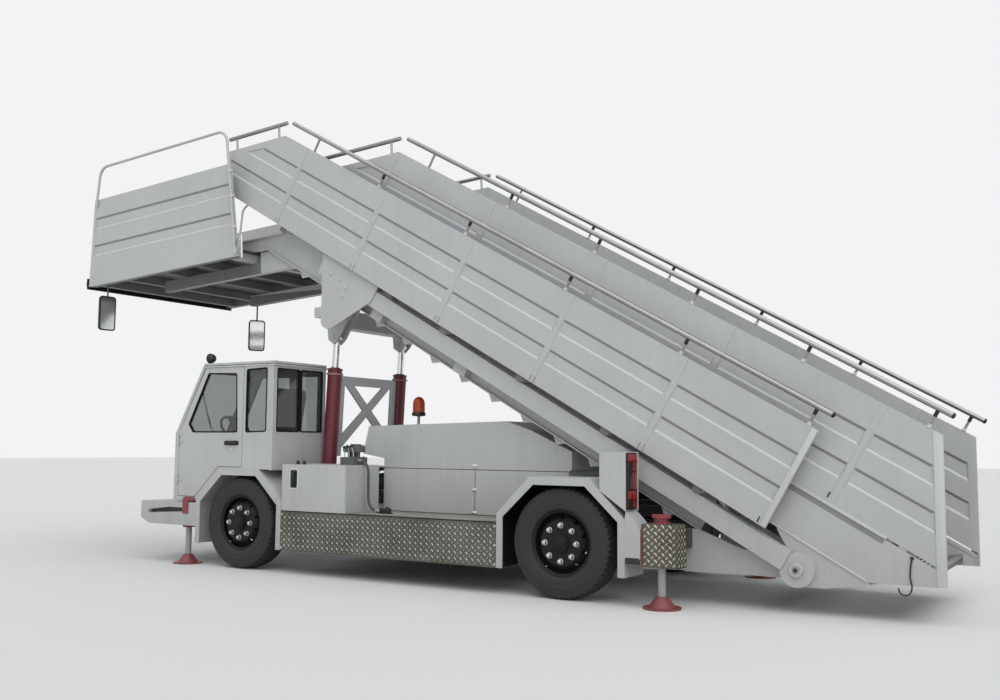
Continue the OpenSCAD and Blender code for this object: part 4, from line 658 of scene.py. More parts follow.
class Shape:
    """Points and closed skins of one piece in the making, drawn in millimetres."""

    def __init__(self, frame_of_drawing: Matrix | None = None) -> None:
        """Starts an empty piece.

        Args:
            frame_of_drawing: Frame of the first drawing; the plan view if left out.
        """
        self.drawing = frame_of_drawing or drawing()
        self.points: list[Vector] = []
        self.faces: list[tuple[int, ...]] = []

    def loft(self, rings: Sequence[Sequence[Point]], cyclic: bool = False) -> None:
        """Joins rings of equally many points into one skin.

        Args:
            rings: The rings in order.
            cyclic: Whether the last ring joins the first; otherwise the end rings are capped.
        """
        start, count = len(self.points), len(rings[0])
        for ring in rings:
            self.points += [self.drawing @ Vector(p) for p in ring]
        for k in range(len(rings) if cyclic else len(rings) - 1):
            a, b = start + k * count, start + (k + 1) % len(rings) * count
            self.faces += [(a + j, a + (j + 1) % count, b + (j + 1) % count, b + j) for j in range(count)]
        if not cyclic:
            last = start + (len(rings) - 1) * count
            self.faces += [tuple(range(start + count - 1, start - 1, -1)), tuple(range(last, last + count))]

    def prism(self, outline: Sequence[Flat], lo: float, hi: float) -> None:
        """Raises an outline from lo to hi out of the drawing."""
        self.loft([[(a, b, h) for a, b in outline] for h in (lo, hi)])

    def frame_ring(self, outer: Sequence[Flat], inner: Sequence[Flat], lo: float, hi: float,
                   crown: float = 0.0) -> None:
        """Adds a closed frame between two outlines.

        Args:
            outer: Outer outline.
            inner: Inner outline with as many points.
            lo: Lower face.
            hi: Upper face at its edges.
            crown: How much higher the middle of the upper face is.
        """
        middle = [((a[0] + b[0]) / 2, (a[1] + b[1]) / 2) for a, b in zip(outer, inner)]
        levels = [(outer, lo), (outer, hi), (middle, hi + crown), (inner, hi), (inner, lo)]
        self.loft([[(a, b, h) for a, b in line] for line, h in levels], cyclic=True)

    def lathe(self, profile: Sequence[Flat], centre: Flat = (0.0, 0.0), steps: int = 32,
              cyclic: bool = False) -> None:
        """Turns a profile about a line out of the drawing.

        Args:
            profile: Radius and height of each ring.
            centre: Where the line stands in the drawing.
            steps: Points on each ring.
            cyclic: Whether the profile is closed, as on a ring with a hole.
        """
        turns = [math.tau * k / steps for k in range(steps)]
        self.loft([[(centre[0] + r * math.cos(t), centre[1] + r * math.sin(t), h) for t in turns]
                   for r, h in profile], cyclic)

    def tube(self, path: Sequence[Point], radius: float, sides: int = 12) -> None:
        """Sweeps a round section along a path."""
        knots = [Vector(p) for p in path]
        # Any way that no path here runs along
        up = Vector((0.31, 0.27, 0.91))
        rings = []
        for k, knot in enumerate(knots):
            way = (knots[min(k + 1, len(knots) - 1)] - knots[max(k - 1, 0)]).normalized()
            side = up.cross(way).normalized()
            up = way.cross(side)
            rings.append([knot + radius * (math.cos(math.tau * j / sides) * side
                                           + math.sin(math.tau * j / sides) * up) for j in range(sides)])
        self.loft(rings)

    def bolt(self, centre: Flat, width: float, height: float, level: float = 0.0) -> None:
        """Adds a washer with a hexagon head on it."""
        self.lathe([(0.75 * width, level - 1), (0.75 * width, level + 0.15 * height)], centre, 20)
        self.lathe([(0.58 * width, level), (0.58 * width, level + 0.85 * height),
                    (0.46 * width, level + height)], centre, 6)

    def lozenges(self, lo: Flat, hi: Flat, level: float = 0.0, pitch: Flat = (57.0, 50.0),
                 size: Point = (37.0, 14.0, 2.4)) -> None:
        """Covers a rectangle with the raised lozenges of tread plate, turned by turns.

        Args:
            lo: Lowest corner of the rectangle.
            hi: Its highest corner.
            level: Height of the plate's face.
            pitch: Spacing of the columns and the rows.
            size: Length, width and height of a lozenge.
        """
        columns = int((hi[0] - lo[0]) / pitch[0] * 2)
        rows = int((hi[1] - lo[1]) / pitch[1] * 2)
        length, width, height = size
        for i in range(columns):
            for j in range(rows):
                if (i + j) % 2:
                    continue
                centre = (lo[0] + (i + 0.7) * pitch[0] / 2, lo[1] + (j + 0.7) * pitch[1] / 2)
                angle = math.radians(45 if i % 2 else -45)
                c, s = math.cos(angle), math.sin(angle)
                flat = [(-length / 2, 0.0), (0.0, -width / 2), (length / 2, 0.0), (0.0, width / 2)]
                rings = [[(centre[0] + share * (a * c - b * s), centre[1] + share * (a * s + b * c), h)
                          for a, b in flat] for share, h in ((1.0, level - 0.4), (0.62, level + height))]
                self.loft(rings)

    def fold(self, reach: Flat, edge: float, turn: int, wide: float = 20.0, deep: float = 9.0) -> None:
        """Adds the bend at a pressed field: a low wedge from the sheet's face down to the field's floor.

        Args:
            reach: Start and end of the bend.
            edge: Place of the field's edge across the drawing.
            turn: Way from the edge into the field.
            wide: Width of the bend.
            deep: Depth of the field.
        """
        section = [(edge, 0.4), (edge + turn * wide * 0.35, -0.2 * deep), (edge + turn * wide, 0.4 - deep),
                   (edge + turn * wide * 0.5, -deep - 0.5), (edge, -deep - 0.5)]
        self.loft([[(s, across, out) for across, out in section] for s in reach])

    def move(self, place: Matrix) -> None:
        """Carries what was drawn about the plan's zero to another frame."""
        back = drawing().inverted()
        self.points = [place @ (back @ point) for point in self.points]

    def mirror(self) -> None:
        """Adds the same again on the other side of the centre line."""
        count = len(self.points)
        self.points += [Vector((p.x, -p.y, p.z)) for p in self.points]
        self.faces += [tuple(k + count for k in reversed(face)) for face in self.faces]

    def emit_pair(self, name: str, finish: Finish, body: Enum, replaces: Sequence[str] = (),
                  edge_mm: float = 0.0) -> None:
        """Adds the other side's copy and makes both one piece, as emit does."""
        self.mirror()
        self.emit(name, finish, body, replaces, edge_mm)

    def emit(self, name: str, finish: Finish, body: Enum, replaces: Sequence[str] = (),
             edge_mm: float = 0.0) -> bpy.types.Object:
        """Makes the piece, lays its finish on and lets it ride.

        Args:
            name: Name of the piece.
            finish: Its finish.
            body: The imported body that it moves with.
            replaces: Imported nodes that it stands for.
            edge_mm: Width of the rounding of its sharp edges.

        Returns:
            The new object.
        """
        mesh = bpy.data.meshes.new(name)
        mesh.from_pydata(self.points, [], self.faces)
        work = bmesh.new()
        work.from_mesh(mesh)
        bmesh.ops.recalc_face_normals(work, faces=work.faces)
        if edge_mm:
            sharp = [edge for edge in work.edges if edge.calc_face_angle(0.0) > ROUNDED_EDGE]
            bmesh.ops.bevel(work, geom=sharp, offset=edge_mm * MM, segments=2, profile=0.5,
                            affect="EDGES", clamp_overlap=True)
        work.to_mesh(mesh)
        work.free()
        mesh.shade_smooth()
        mesh.set_sharp_from_angle(angle=CRISP_EDGE)
        mesh.materials.append(finish.material())
        piece = bpy.data.objects.new(name, mesh)
        bpy.context.scene.collection.objects.link(piece)
        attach(piece, body.value)
        if replaces:
            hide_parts(*replaces)
        log.info("built %s: %d faces on %s", name, len(mesh.polygons), body.value)
        return piece


@dataclass(frozen=True)
class Layout:
    """Driving sizes of the vehicle, in millimetres from the rear axle's point on the ground."""

    wheelbase: float = 3450.0
    half_width: float = 1220.0
    deck: float = 570.0
    tyre_radius: float = 430.0
    tyre_y: float = 1065.0
    hub_y: float = 1197.0
    cab_front: float = 4330.0
    cab_rear: float = 3020.0
    cab_in: float = 500.0
    bumper_front: float = 4800.0
    bumper_top: float = 600.0
    jack_front_x: float = 4200.0
    jack_rear_x: float = -815.0
    jack_y: float = 1125.0
    lower_half: float = 785.0
    upper_half: float = 925.0
    lower_top: float = 2436.0
    upper_top: float = 2072.0
    platform_half: float = 1055.0
    platform_at: Flat = (3726.0, 3029.0)
    platform_len: float = 2294.0
    tread_pitch: float = 367.0


PLAN = Layout()


REGIONS = [
    Region("jack_housings", FOOT_RED, (3000, 0, 0), (9000, 9000, 9000)),
    Region("jack_housings", FOOT_RED, (-9000, 0, 614.5), (0, 9000, 9000)),
    Region("chassis_frame", ENAMEL_LOW, (-9000, 735, 0), (-640, 9000, 9000)),
    *(Region(name, LEG_GREY, (-9000, 0, 100), (9000, 9000, 9000)) for name in corner_names("jack")),
    Region("platform_frame", ENAMEL, (-9000, 0, -9000), (9000, 9000, 79.5), True),
    Region("platform_frame", SEAL_RUBBER_AND_PAINTED_SHADE, (2293, 0, -60), (9000, 9000, 9000), True),
    Region("platform_frame", BLACK_PLASTIC, (1550, 0, -900), (2290, 9000, -75), True),
    # Darker grey under the platform and on parts of the upper frame is painted shade
    Region("platform_frame", UNDERFRAME_PAINTED_SHADE, (160, 0, -75), (2285, 9000, 79.9), True),
    Region("upper_frame", UNDERFRAME_PAINTED_SHADE, (4150, 0, 2600), (9000, 800, 3150)),
    Region("upper_frame", UNDERFRAME_PAINTED_SHADE, (-9000, 886.5, -9000), (9000, 899.9, 9000)),
    Region("rear_bodywork", ARCH_LINER, (-565, 850, 205), (565, 1213, 934), towards=(0, 400)),
    Region("front_fenders", ARCH_LINER, (2885, 850, 205), (3760, 1213, 934), towards=(3450, 400)),
    # The fenders' rear slopes, which look back and up, wear the lighter enamel as painted light
    Region("front_fenders", ENAMEL_TRIM_AND_HIGHLIGHT, (2885, 850, 600), (3230, 1213, 940), towards=(2000, 1600)),
    Region("cab_door", BLACK_PLASTIC, (3440, 1222, 1140), (3660, 9000, 1215)),
]


@dataclass
class Wheels:
    """The four wheels: tyres with moulded tread, and domed nuts on the discs."""

    pitches: int = 56
    groove_depth: float = 9.0
    crown_drop: float = 3.0
    zigzag: float = 4.0
    groove_places: tuple[float, ...] = (67.0, 22.0)
    lug_phases: tuple[float, ...] = (0.0, 0.72, 0.76, 0.96)
    bolt_circle: float = 137.5
    nuts: int = 8
    disc_depth: float = 22.0
    # Half section outside the tread: distance from the middle, radius
    flank: tuple[Flat, ...] = (
        (93, 251), (101, 260), (110, 261), (116, 272), (120, 288), (121.5, 300), (124, 302), (124, 306),
        (122, 308), (122.5, 338), (124.5, 341), (124.5, 346), (122.5, 349), (121, 372), (118, 388),
        (116, 394), (119, 397), (117, 408))
    # Shoulder of the tread, cut by the cross grooves
    shoulder: tuple[Flat, ...] = ((111, 417), (103, 421), (80, 426))

    def build(self) -> None:
        """Builds every wheel's tyre and fittings."""
        corners = (("front_left", Body.WHEEL_FL, PLAN.wheelbase, 1),
                   ("front_right", Body.WHEEL_FR, PLAN.wheelbase, -1),
                   ("rear_left", Body.WHEEL_RL, 0.0, 1),
                   ("rear_right", Body.WHEEL_RR, 0.0, -1))
        for corner, body, x, side in corners:
            centre = drawing((x, side * PLAN.tyre_y, PLAN.tyre_radius), X, Z, (0.0, side, 0.0))
            self.tyre(corner, body, centre)
            self.fittings(corner, body, centre)

    def half_section(self, shift: float, cut: bool) -> list[Flat]:
        """Draws one half of the tyre's section, from bead to crown."""
        top = [(y, r - self.groove_depth) for y, r in self.shoulder] if cut else list(self.shoulder)
        for place in self.groove_places:
            crown = PLAN.tyre_radius - self.crown_drop * place / self.groove_places[0]
            at = place + shift
            floor = crown - self.groove_depth
            top += [(at + 5, crown), (at + 3.5, floor), (at - 3.5, floor), (at - 5, crown)]
        return [*self.flank, *top]

    def tyre(self, corner: str, body: Enum, centre: Matrix) -> None:
        """Builds one tyre with its ribs, zigzag grooves and shoulder lugs."""
        shape = Shape(centre)
        rings = []
        for pitch in range(self.pitches):
            for k, phase in enumerate(self.lug_phases):
                angle = math.tau * (pitch + phase) / self.pitches
                way = 1 if (pitch + (k > 1)) % 2 else -1
                cut = k > 1
                near = self.half_section(way * self.zigzag, cut)
                far = [(-y, r) for y, r in reversed(self.half_section(-way * self.zigzag, cut))]
                rings.append([(r * math.cos(angle), r * math.sin(angle), y) for y, r in [*near, *far]])
        shape.loft(rings, cyclic=True)
        shape.emit(f"treaded_tyre_{corner}", TYRE_RUBBER, body, replaces=[f"tyre_{corner}"])

    def fittings(self, corner: str, body: Enum, centre: Matrix) -> None:
        """Builds the domed nuts, the hub's cap and the valve of one wheel."""
        face = PLAN.hub_y - PLAN.tyre_y - self.disc_depth
        nuts = Shape(centre)
        for k in range(self.nuts):
            angle = math.tau * k / self.nuts
            at = (self.bolt_circle * math.cos(angle), self.bolt_circle * math.sin(angle))
            nuts.lathe([(23, face - 1), (23, face + 3), (18.5, face + 4), (18, face + 22), (16, face + 28),
                        (10, face + 32), (3, face + 33)], at, 20)
        nuts.emit(f"wheel_nuts_{corner}", NUT_ZINC, body)
        cap = Shape(centre)
        cap.lathe([(62, face + 18), (62, face + 24), (50, face + 26), (48, face + 33), (40, face + 37),
                   (6, face + 38)], steps=40)
        cap.emit(f"hub_cap_{corner}", RIM_BLACK, body)
        valve = Shape(centre)
        lean = math.radians(-55)
        way = (math.cos(lean), math.sin(lean))
        valve.tube([(213 * way[0], 213 * way[1], 55), (217 * way[0], 217 * way[1], 82),
                    (222 * way[0], 222 * way[1], 106)], 5.5)
        valve.emit(f"valve_stem_{corner}", NUT_ZINC, body)


@dataclass
class TreadPlates:
    """Raised lozenges of the tread plate, and the ribbed noses of the steps."""

    lower_steps: int = 14
    upper_steps: int = 13
    lower_half: float = 770.0
    upper_half: float = 687.0
    step_depth: float = 296.0
    nose_depth: float = 38.0
    rib_places: tuple[float, ...] = (0.5, 4, 5, 8, 9, 13, 14, 17, 18, 22, 23, 26, 27, 34)
    lower_landing: tuple[float, float, float] = (3060.0, 1560.0, 500.0)
    upper_landing: tuple[float, float, float] = (4400.0, 1196.0, 760.0)
    platform_floor: float = 92.0

    def build(self) -> None:
        """Builds the lozenges of the chassis, the steps and the platform."""
        self.chassis()
        flights = (("lower", self.lower_steps, self.lower_half, self.lower_landing, Body.STAIRS),
                   ("upper", self.upper_steps, self.upper_half, self.upper_landing, Body.UPPER))
        for name, steps, half, landing, body in flights:
            self.flight(name, steps, half, landing, body)
        floor = Shape(drawing((PLAN.platform_at[0], 0.0, PLAN.platform_at[1]), FORWARD, Y, UPWARD))
        floor.lozenges((75, -1015), (PLAN.platform_len - 60, 1015), self.platform_floor)
        floor.lozenges((-335, -650), (60, 650), self.platform_floor - 4)
        floor.emit("platform_floor_lozenges", TREAD_TOP, Body.PLATFORM)

    def chassis(self) -> None:
        """Covers the skirts, the jack boxes and the deck."""
        skirts = Shape(side_face(PLAN.half_width))
        skirts.lozenges((566, 216), (2888, 556))
        skirts.emit_pair("skirt_lozenges", TREAD_TOP, Body.CHASSIS)
        boxes = Shape(side_face(PLAN.half_width - 5))
        boxes.lozenges((PLAN.jack_rear_x - 152, 306), (PLAN.jack_rear_x + 112, 612), size=(42.0, 19.0, 2.8))
        boxes.drawing = drawing((PLAN.jack_rear_x - 155, 0.0, 0.0), Y, Z, (-1.0, 0.0, 0.0))
        boxes.lozenges((PLAN.jack_y - 86, 306), (PLAN.half_width - 8, 612), size=(42.0, 19.0, 2.8))
        boxes.emit_pair("jack_box_lozenges", TREAD_TOP_DUSTY, Body.CHASSIS)
        deck = Shape(drawing((0.0, 0.0, PLAN.deck)))
        deck.lozenges((566, 664), (2126, PLAN.half_width - 12))
        deck.lozenges((2350, 10), (2690, 744))
        deck.emit_pair("deck_lozenges", TREAD_TOP, Body.CHASSIS)

    def flight(self, name: str, steps: int, half: float, landing: tuple[float, float, float],
               body: Enum) -> None:
        """Builds the lozenges and the noses of one flight."""
        marks, noses = Shape(), Shape()
        places = [(landing[0] - k * PLAN.tread_pitch, landing[1], self.step_depth)
                  for k in range(1, steps + 1)]
        for s, n, depth in [*places, landing]:
            marks.drawing = noses.drawing = slope_top(s, n)
            marks.lozenges((self.nose_depth + 4, -half), (depth - 4, half))
            ribs = [(a, 4.0 if k % 4 < 2 else 2.2) for k, a in enumerate(self.rib_places)]
            section = [(-2.5, -20), (-2.5, 2.0), *ribs, (self.nose_depth, -0.3), (0.4, -0.3), (0.4, -20)]
            noses.loft([[(a, y, h) for a, h in section] for y in (-half, half)])
        marks.emit(f"{name}_tread_lozenges", TREAD_TOP, body)
        noses.emit(f"{name}_tread_noses", NOSE_ALLOY, body)


@dataclass
class Cab:
    """Window seals, roof trim, door furniture, wiper, roof lamp and seat of the cab."""

    skin: float = PLAN.half_width
    proud: float = 4.0
    door_window: tuple[Flat, ...] = ((4084, 1283), (4144, 1361), (3886, 1852), (3503, 1841), (3479, 1283))
    side_window: tuple[Flat, ...] = ((3105, 1290), (3365, 1283), (3368, 1875), (3105, 1885))
    inner_door_window: tuple[Flat, ...] = ((4090, 1290), (4130, 1365), (3880, 1850), (3480, 1850),
                                           (3480, 1290))
    inner_side_window: tuple[Flat, ...] = ((3105, 1290), (3400, 1290), (3400, 1850), (3105, 1850))
    rear_panes: tuple[Flat, ...] = ((550, 845), (875, 1170))
    pane_z: Flat = (1290.0, 1880.0)
    screen: tuple[Flat, ...] = ((560, 22), (1160, 22), (1160, 687), (560, 687))

    def build(self) -> None:
        """Builds the cab's pieces."""
        self.seals()
        self.roof_trim()
        self.door_furniture()
        self.wiper()
        self.seat()
        self.roof_lamp()

    def seal(self, shape: Shape, outline: Sequence[Flat], radius: float = 22.0) -> None:
        """Adds the rubber channel around one pane.

        Args:
            shape: The piece that gets it.
            outline: Opening in the sheet.
            radius: Radius of the opening's corners as the rubber shows them.
        """
        shape.frame_ring(rounded(offset(outline, 5), radius + 5), rounded(offset(outline, -8), radius - 8),
                         -16.0, self.proud - 1.5, 1.5)

    def seals(self) -> None:
        """Builds the seals of every window."""
        shape = Shape(side_face(self.skin))
        self.seal(shape, self.door_window)
        shape.emit("door_window_seal", SEAL_RUBBER_AND_PAINTED_SHADE, Body.DOOR)
        fixed = Shape(side_face(self.skin))
        self.seal(fixed, self.side_window)
        fixed.drawing = drawing((0.0, PLAN.cab_in, 0.0), X, Z, (0.0, -1.0, 0.0))
        for outline in (self.inner_door_window, self.inner_side_window):
            self.seal(fixed, outline)
        fixed.drawing = drawing((PLAN.cab_rear, 0.0, 0.0), Y, Z, (-1.0, 0.0, 0.0))
        for lo, hi in self.rear_panes:
            self.seal(fixed, rectangle((lo, self.pane_z[0]), (hi, self.pane_z[1])), 14.0)
        fixed.loft([[(a, z, h) for a, h in ((848, -2), (850, 3), (870, 3), (872, -2))]
                    for z in (self.pane_z[0] + 2, self.pane_z[1] - 2)])
        fixed.drawing = self.screen_face()
        self.seal(fixed, self.screen)
        fixed.emit("cab_window_seals", SEAL_RUBBER_AND_PAINTED_SHADE, Body.CHASSIS)

    def screen_face(self) -> Matrix:
        """Frame of a drawing on the raked front above the cowl: across, up the rake, out."""
        rake = Vector((-376.0, 0.0, 680.0)).normalized()
        return drawing((PLAN.cab_front, 0.0, 1270.0), Y, rake, (rake.z, 0.0, -rake.x))

    def roof_trim(self) -> None:
        """Builds the drip rail under the roof's edge and the dark joint above it."""
        corners = ((PLAN.cab_rear - 5, PLAN.cab_in), (3916.0, self.skin))
        outline = rectangle(*corners)
        for name, finish, lo, hi, reach in (("roof_drip_rail", ENAMEL_TRIM_AND_HIGHLIGHT, 1908, 1920, 9.0),
                                            ("roof_joint_sealant", SEAL_RUBBER_AND_PAINTED_SHADE, 1920, 1926, 3.0)):
            rail = Shape()
            rail.frame_ring(offset(outline, reach), offset(outline, -2.0), lo, hi, 1.0)
            rail.emit(name, finish, Body.CHASSIS)

    def door_furniture(self) -> None:
        """Builds the handle in its dish, and the lock."""
        handle = Shape(side_face(self.skin))
        handle.prism(rounded(rectangle((3456, 1160), (3640, 1197)), 16), -1, 3)
        handle.frame_ring(rounded(rectangle((3453, 1157), (3643, 1200)), 19),
                          rounded(rectangle((3460, 1164), (3636, 1193)), 13), 0, 5, 2)
        grip = smooth([(3466, 1178, 2), (3480, 1179, 21), (3545, 1180, 26), (3612, 1179, 21),
                       (3626, 1178, 2)])
        handle.tube(grip, 9.5)
        handle.emit("door_handle", BLACK_PLASTIC, Body.DOOR)
        lock = Shape(side_face(self.skin))
        lock.lathe([(13, 0), (13, 5), (10, 7), (4, 7), (4, 5), (1, 5)], (3548, 1118), 24)
        lock.emit("door_lock", NUT_ZINC, Body.DOOR)

    def wiper(self) -> None:
        """Builds the windscreen wiper parked along the lower edge."""
        wiper = Shape(self.screen_face())
        wiper.lathe([(17, -2), (17, 8), (11, 12), (11, 20), (4, 22)], (700, 2), 20)
        wiper.tube(smooth([(700, 2, 16), (760, 60, 24), (880, 200, 20), (935, 262, 15)]), 4.5, 10)
        wiper.prism([(790, 66), (797, 60), (1082, 452), (1075, 458)], 5, 13)
        wiper.emit("windscreen_wiper", BLACK_FITTING_AND_PAINTED_SHADE, Body.CHASSIS)

    def roof_lamp(self) -> None:
        """Builds the round work lamp on its arm ahead of the roof."""
        centre = (4000.0, 1090.0, 2012.0)
        lamp = Shape(drawing(centre, Y, Z, X))
        lamp.lathe([(4, -44), (22, -41), (36, -30), (44, -12), (47, 8), (51, 10), (51, 20), (47, 23),
                    (44, 20), (40, 12), (4, 10)], steps=40)
        lamp.drawing = drawing()
        lamp.prism(rounded(rectangle((3894, 1077), (4012, 1103)), 6, 3), 1950, 1956)
        lamp.tube([(4000, 1090, 1953), (4000, 1090, 1960), (4000, 1090, 1972)], 9)
        lamp.emit("roof_lamp_shell", BLACK_FITTING_AND_PAINTED_SHADE, Body.CHASSIS, ["roof_lamp"])
        glass = Shape(drawing(centre, Y, Z, X))
        glass.lathe([(43, 12), (43, 19), (34, 24), (18, 27), (2, 28)], steps=40)
        glass.emit("roof_lamp_glass", CLEAR_LENS, Body.CHASSIS, ["roof_lamp"])

    def seat(self) -> None:
        """Builds the driver's seat: two padded cloth parts on a steel base."""
        base = Shape()
        base.loft([level_rectangle((3250, 670), (3570, 990), 949),
                   level_rectangle((3275, 695), (3545, 965), 1010),
                   level_rectangle((3265, 685), (3555, 975), 1062)])
        base.emit("seat_base", BLACK_FITTING_AND_PAINTED_SHADE, Body.CHASSIS, ["driver_seat"], edge_mm=4)
        cushion = Shape()
        self.pad(cushion, (460.0, 440.0), 110.0)
        cushion.move(drawing((3430.0, 830.0, 1116.0)))
        cushion.emit("seat_cushion", SEAT_CLOTH, Body.CHASSIS, ["driver_seat"])
        back = Shape()
        self.pad(back, (545.0, 420.0), 110.0)
        way = Vector((-90.0, 0.0, 531.0)).normalized()
        back.move(drawing((3215.0, 830.0, 1434.0), way, Y, (way.z, 0.0, -way.x)))
        back.emit("seat_back", SEAT_CLOTH, Body.CHASSIS, ["driver_seat"])

    @staticmethod
    def pad(shape: Shape, size: Flat, thick: float) -> None:
        """Adds a crowned cushion with a piped rim and three sewn channels.

        Args:
            shape: The piece that gets it, drawn about its own middle.
            size: Length and width.
            thick: Height in the middle.
        """
        steps = 28
        rings = []
        for i in range(steps + 1):
            u = 2 * i / steps - 1
            end = (1 - abs(u) ** 6) ** 0.5
            ring = []
            for j in range(2 * steps):
                turn = math.tau * j / (2 * steps)
                v = math.copysign(abs(math.cos(turn)) ** 0.5, math.cos(turn))
                w = math.copysign(abs(math.sin(turn)) ** 0.7, math.sin(turn))
                channel = 0.10 * sum(math.exp(-((u * size[0] / 2 - at) / 7) ** 2)
                                     for at in (-size[0] / 4, 0.0, size[0] / 4))
                half = size[1] / 2 * (1 - 0.03 * (1 - u * u)) * (0.86 + 0.14 * end)
                ring.append((u * size[0] / 2, v * half, w * thick / 2 * max(0.12, end) * (1 - channel)))
            rings.append(ring)
        shape.loft(rings)


@dataclass
class Bodywork:
    """Seams, latches, grips, brackets, arch walls, painted shade and bolts of the hood, boxes, tail and
    bumper.
    """

    hood_half: float = 655.0
    hood_seam_z: float = 965.0
    hood_seam_x: float = 1136.0
    box_skin: float = 1218.0
    grip: tuple[Flat, Flat] = ((2688, 770), (2786, 946))

    def build(self) -> None:
        """Builds the bodywork's pieces."""
        self.hood_details()
        self.box_details()
        self.tail_details()
        self.bumper_details()

    def hood_details(self) -> None:
        """Builds the folded lips along the hood's seams, the joint under them and its latches."""
        lips = Shape(side_face(self.hood_half))
        z, x = self.hood_seam_z, self.hood_seam_x
        for lo, hi in (((222, z), (x - 4, z + 9)), ((x + 4, z), (2384, z + 9))):
            lips.prism(rectangle(lo, hi), -1, 2.2)
        lips.prism(rectangle((x + 3, 590), (x + 12, z - 4)), -1, 2.2)
        lips.emit_pair("hood_seam_lips", ENAMEL, Body.CHASSIS, edge_mm=0.6)
        joint = Shape(side_face(self.hood_half))
        joint.prism(rectangle((218, z - 5), (2388, z)), -1, 0.5)
        joint.prism(rectangle((x - 2, 585), (x + 3, z - 5)), -1, 0.5)
        joint.emit_pair("hood_seam_joint", SEAL_RUBBER_AND_PAINTED_SHADE, Body.CHASSIS)
        latches = Shape(side_face(self.hood_half))
        for level in (996, 787, 589):
            latches.prism(rounded(rectangle((x - 26, level - 16), (x + 32, level + 16)), 7, 3), -1, 5)
            latches.bolt((x + 3, level), 20, 11, 5)
        latches.emit_pair("hood_latches", NUT_ZINC, Body.CHASSIS, edge_mm=0.6)

    def box_details(self) -> None:
        """Builds the side boxes' grips and brackets, the painted shadow along the skirts' top, and the
        skirts' bolts.
        """
        lo, hi = self.grip
        rim = Shape(side_face(self.box_skin))
        outline = rectangle(lo, hi)
        rim.frame_ring(rounded(offset(outline, 8), 26), rounded(offset(outline, -8), 14), -1, 5, 2)
        rim.emit_pair("side_box_grip_rims", ENAMEL_TRIM_AND_HIGHLIGHT, Body.CHASSIS)
        dish = Shape(side_face(self.box_skin))
        dish.prism(rounded(offset(outline, -7), 15), -1, 1)
        dish.tube(smooth([(2737, z, h) for z, h in ((792, 1), (806, 13), (858, 17), (910, 13), (924, 1))]),
                  7.5)
        dish.emit_pair("side_box_grips", BLACK_PLASTIC, Body.CHASSIS)
        brackets = Shape(drawing((0.0, 0.0, 990.0)))
        for x in (2720, 2645):
            brackets.prism(rounded(rectangle((x - 20, 1168), (x + 20, 1210)), 8, 3), -1, 5)
            brackets.prism(rounded(rectangle((x - 9, 1176), (x + 9, 1202)), 5, 3), 4, 34)
            brackets.bolt((x - 15, 1189), 6, 4, 5)
        brackets.emit_pair("side_box_brackets", BLACK_FITTING_AND_PAINTED_SHADE, Body.CHASSIS, edge_mm=1)
        # A black strip along the skirts' top: painted shadow
        edge = Shape(side_face(PLAN.half_width))
        edge.prism(rectangle((562, 562), (2888, 569)), -10, -1)
        edge.emit_pair("skirt_painted_shadow_line", SEAL_RUBBER_AND_PAINTED_SHADE, Body.CHASSIS)
        rails = Shape(side_face(PLAN.half_width))
        for x in (574, 2876):
            for z in (236, 386, 536):
                rails.bolt((x, z), 13, 5)
        rails.emit_pair("skirt_bolts", NUT_ZINC, Body.CHASSIS)

    def tail_details(self) -> None:
        """Builds the arches' inner walls, painted shade in the corner boxes' recesses and the jack boxes'
        red edges.
        """
        wall = Shape(side_face(893.0))
        wall.prism([(-546, 540), (-551, 630), (-259, 928), (259, 928), (551, 630), (546, 540)], 0, 3)
        wall.emit_pair("rear_splash_walls", ARCH_LINER, Body.CHASSIS)
        # A black sheet in the top of each corner box's recess: painted shade
        recess_shade = Shape(side_face(PLAN.half_width))
        recess_shade.prism([(-680, 318), (-568, 318), (-568, 362), (-680, 362)], -6, 0.6)
        recess_shade.emit_pair("corner_box_recess_painted_shade", BLACK_FITTING_AND_PAINTED_SHADE, Body.CHASSIS)
        trim = Shape(side_face(PLAN.half_width - 4))
        trim.prism(rectangle((PLAN.jack_rear_x + 112, 304), (PLAN.jack_rear_x + 119, 611)), -1, 3)
        trim.emit_pair("jack_box_red_edges", FOOT_RED, Body.CHASSIS)

    def bumper_details(self) -> None:
        """Builds painted shade in the bumper's recesses and the rings of the front jacks."""
        # A black sheet in each of the bumper's side recesses: painted shade
        bumper_shade = Shape(side_face(PLAN.half_width - 44.5))
        x, z = PLAN.bumper_front, PLAN.bumper_top
        bumper_shade.prism([(x - 596, z - 93), (x - 114, z - 118), (x - 114, z - 91), (x - 400, z - 58),
                     (x - 596, z - 58)], -0.4, 1.2)
        bumper_shade.emit_pair("bumper_recess_painted_shade", BLACK_FITTING_AND_PAINTED_SHADE, Body.CHASSIS)
        rings = Shape(drawing((PLAN.jack_front_x, PLAN.jack_y, 0.0)))
        rings.lathe([(46, 352), (58, 352), (62, 357), (62, 370), (58, 375), (46, 375)],
                    steps=40, cyclic=True)
        rings.emit_pair("front_jack_rings", FOOT_RED, Body.CHASSIS)


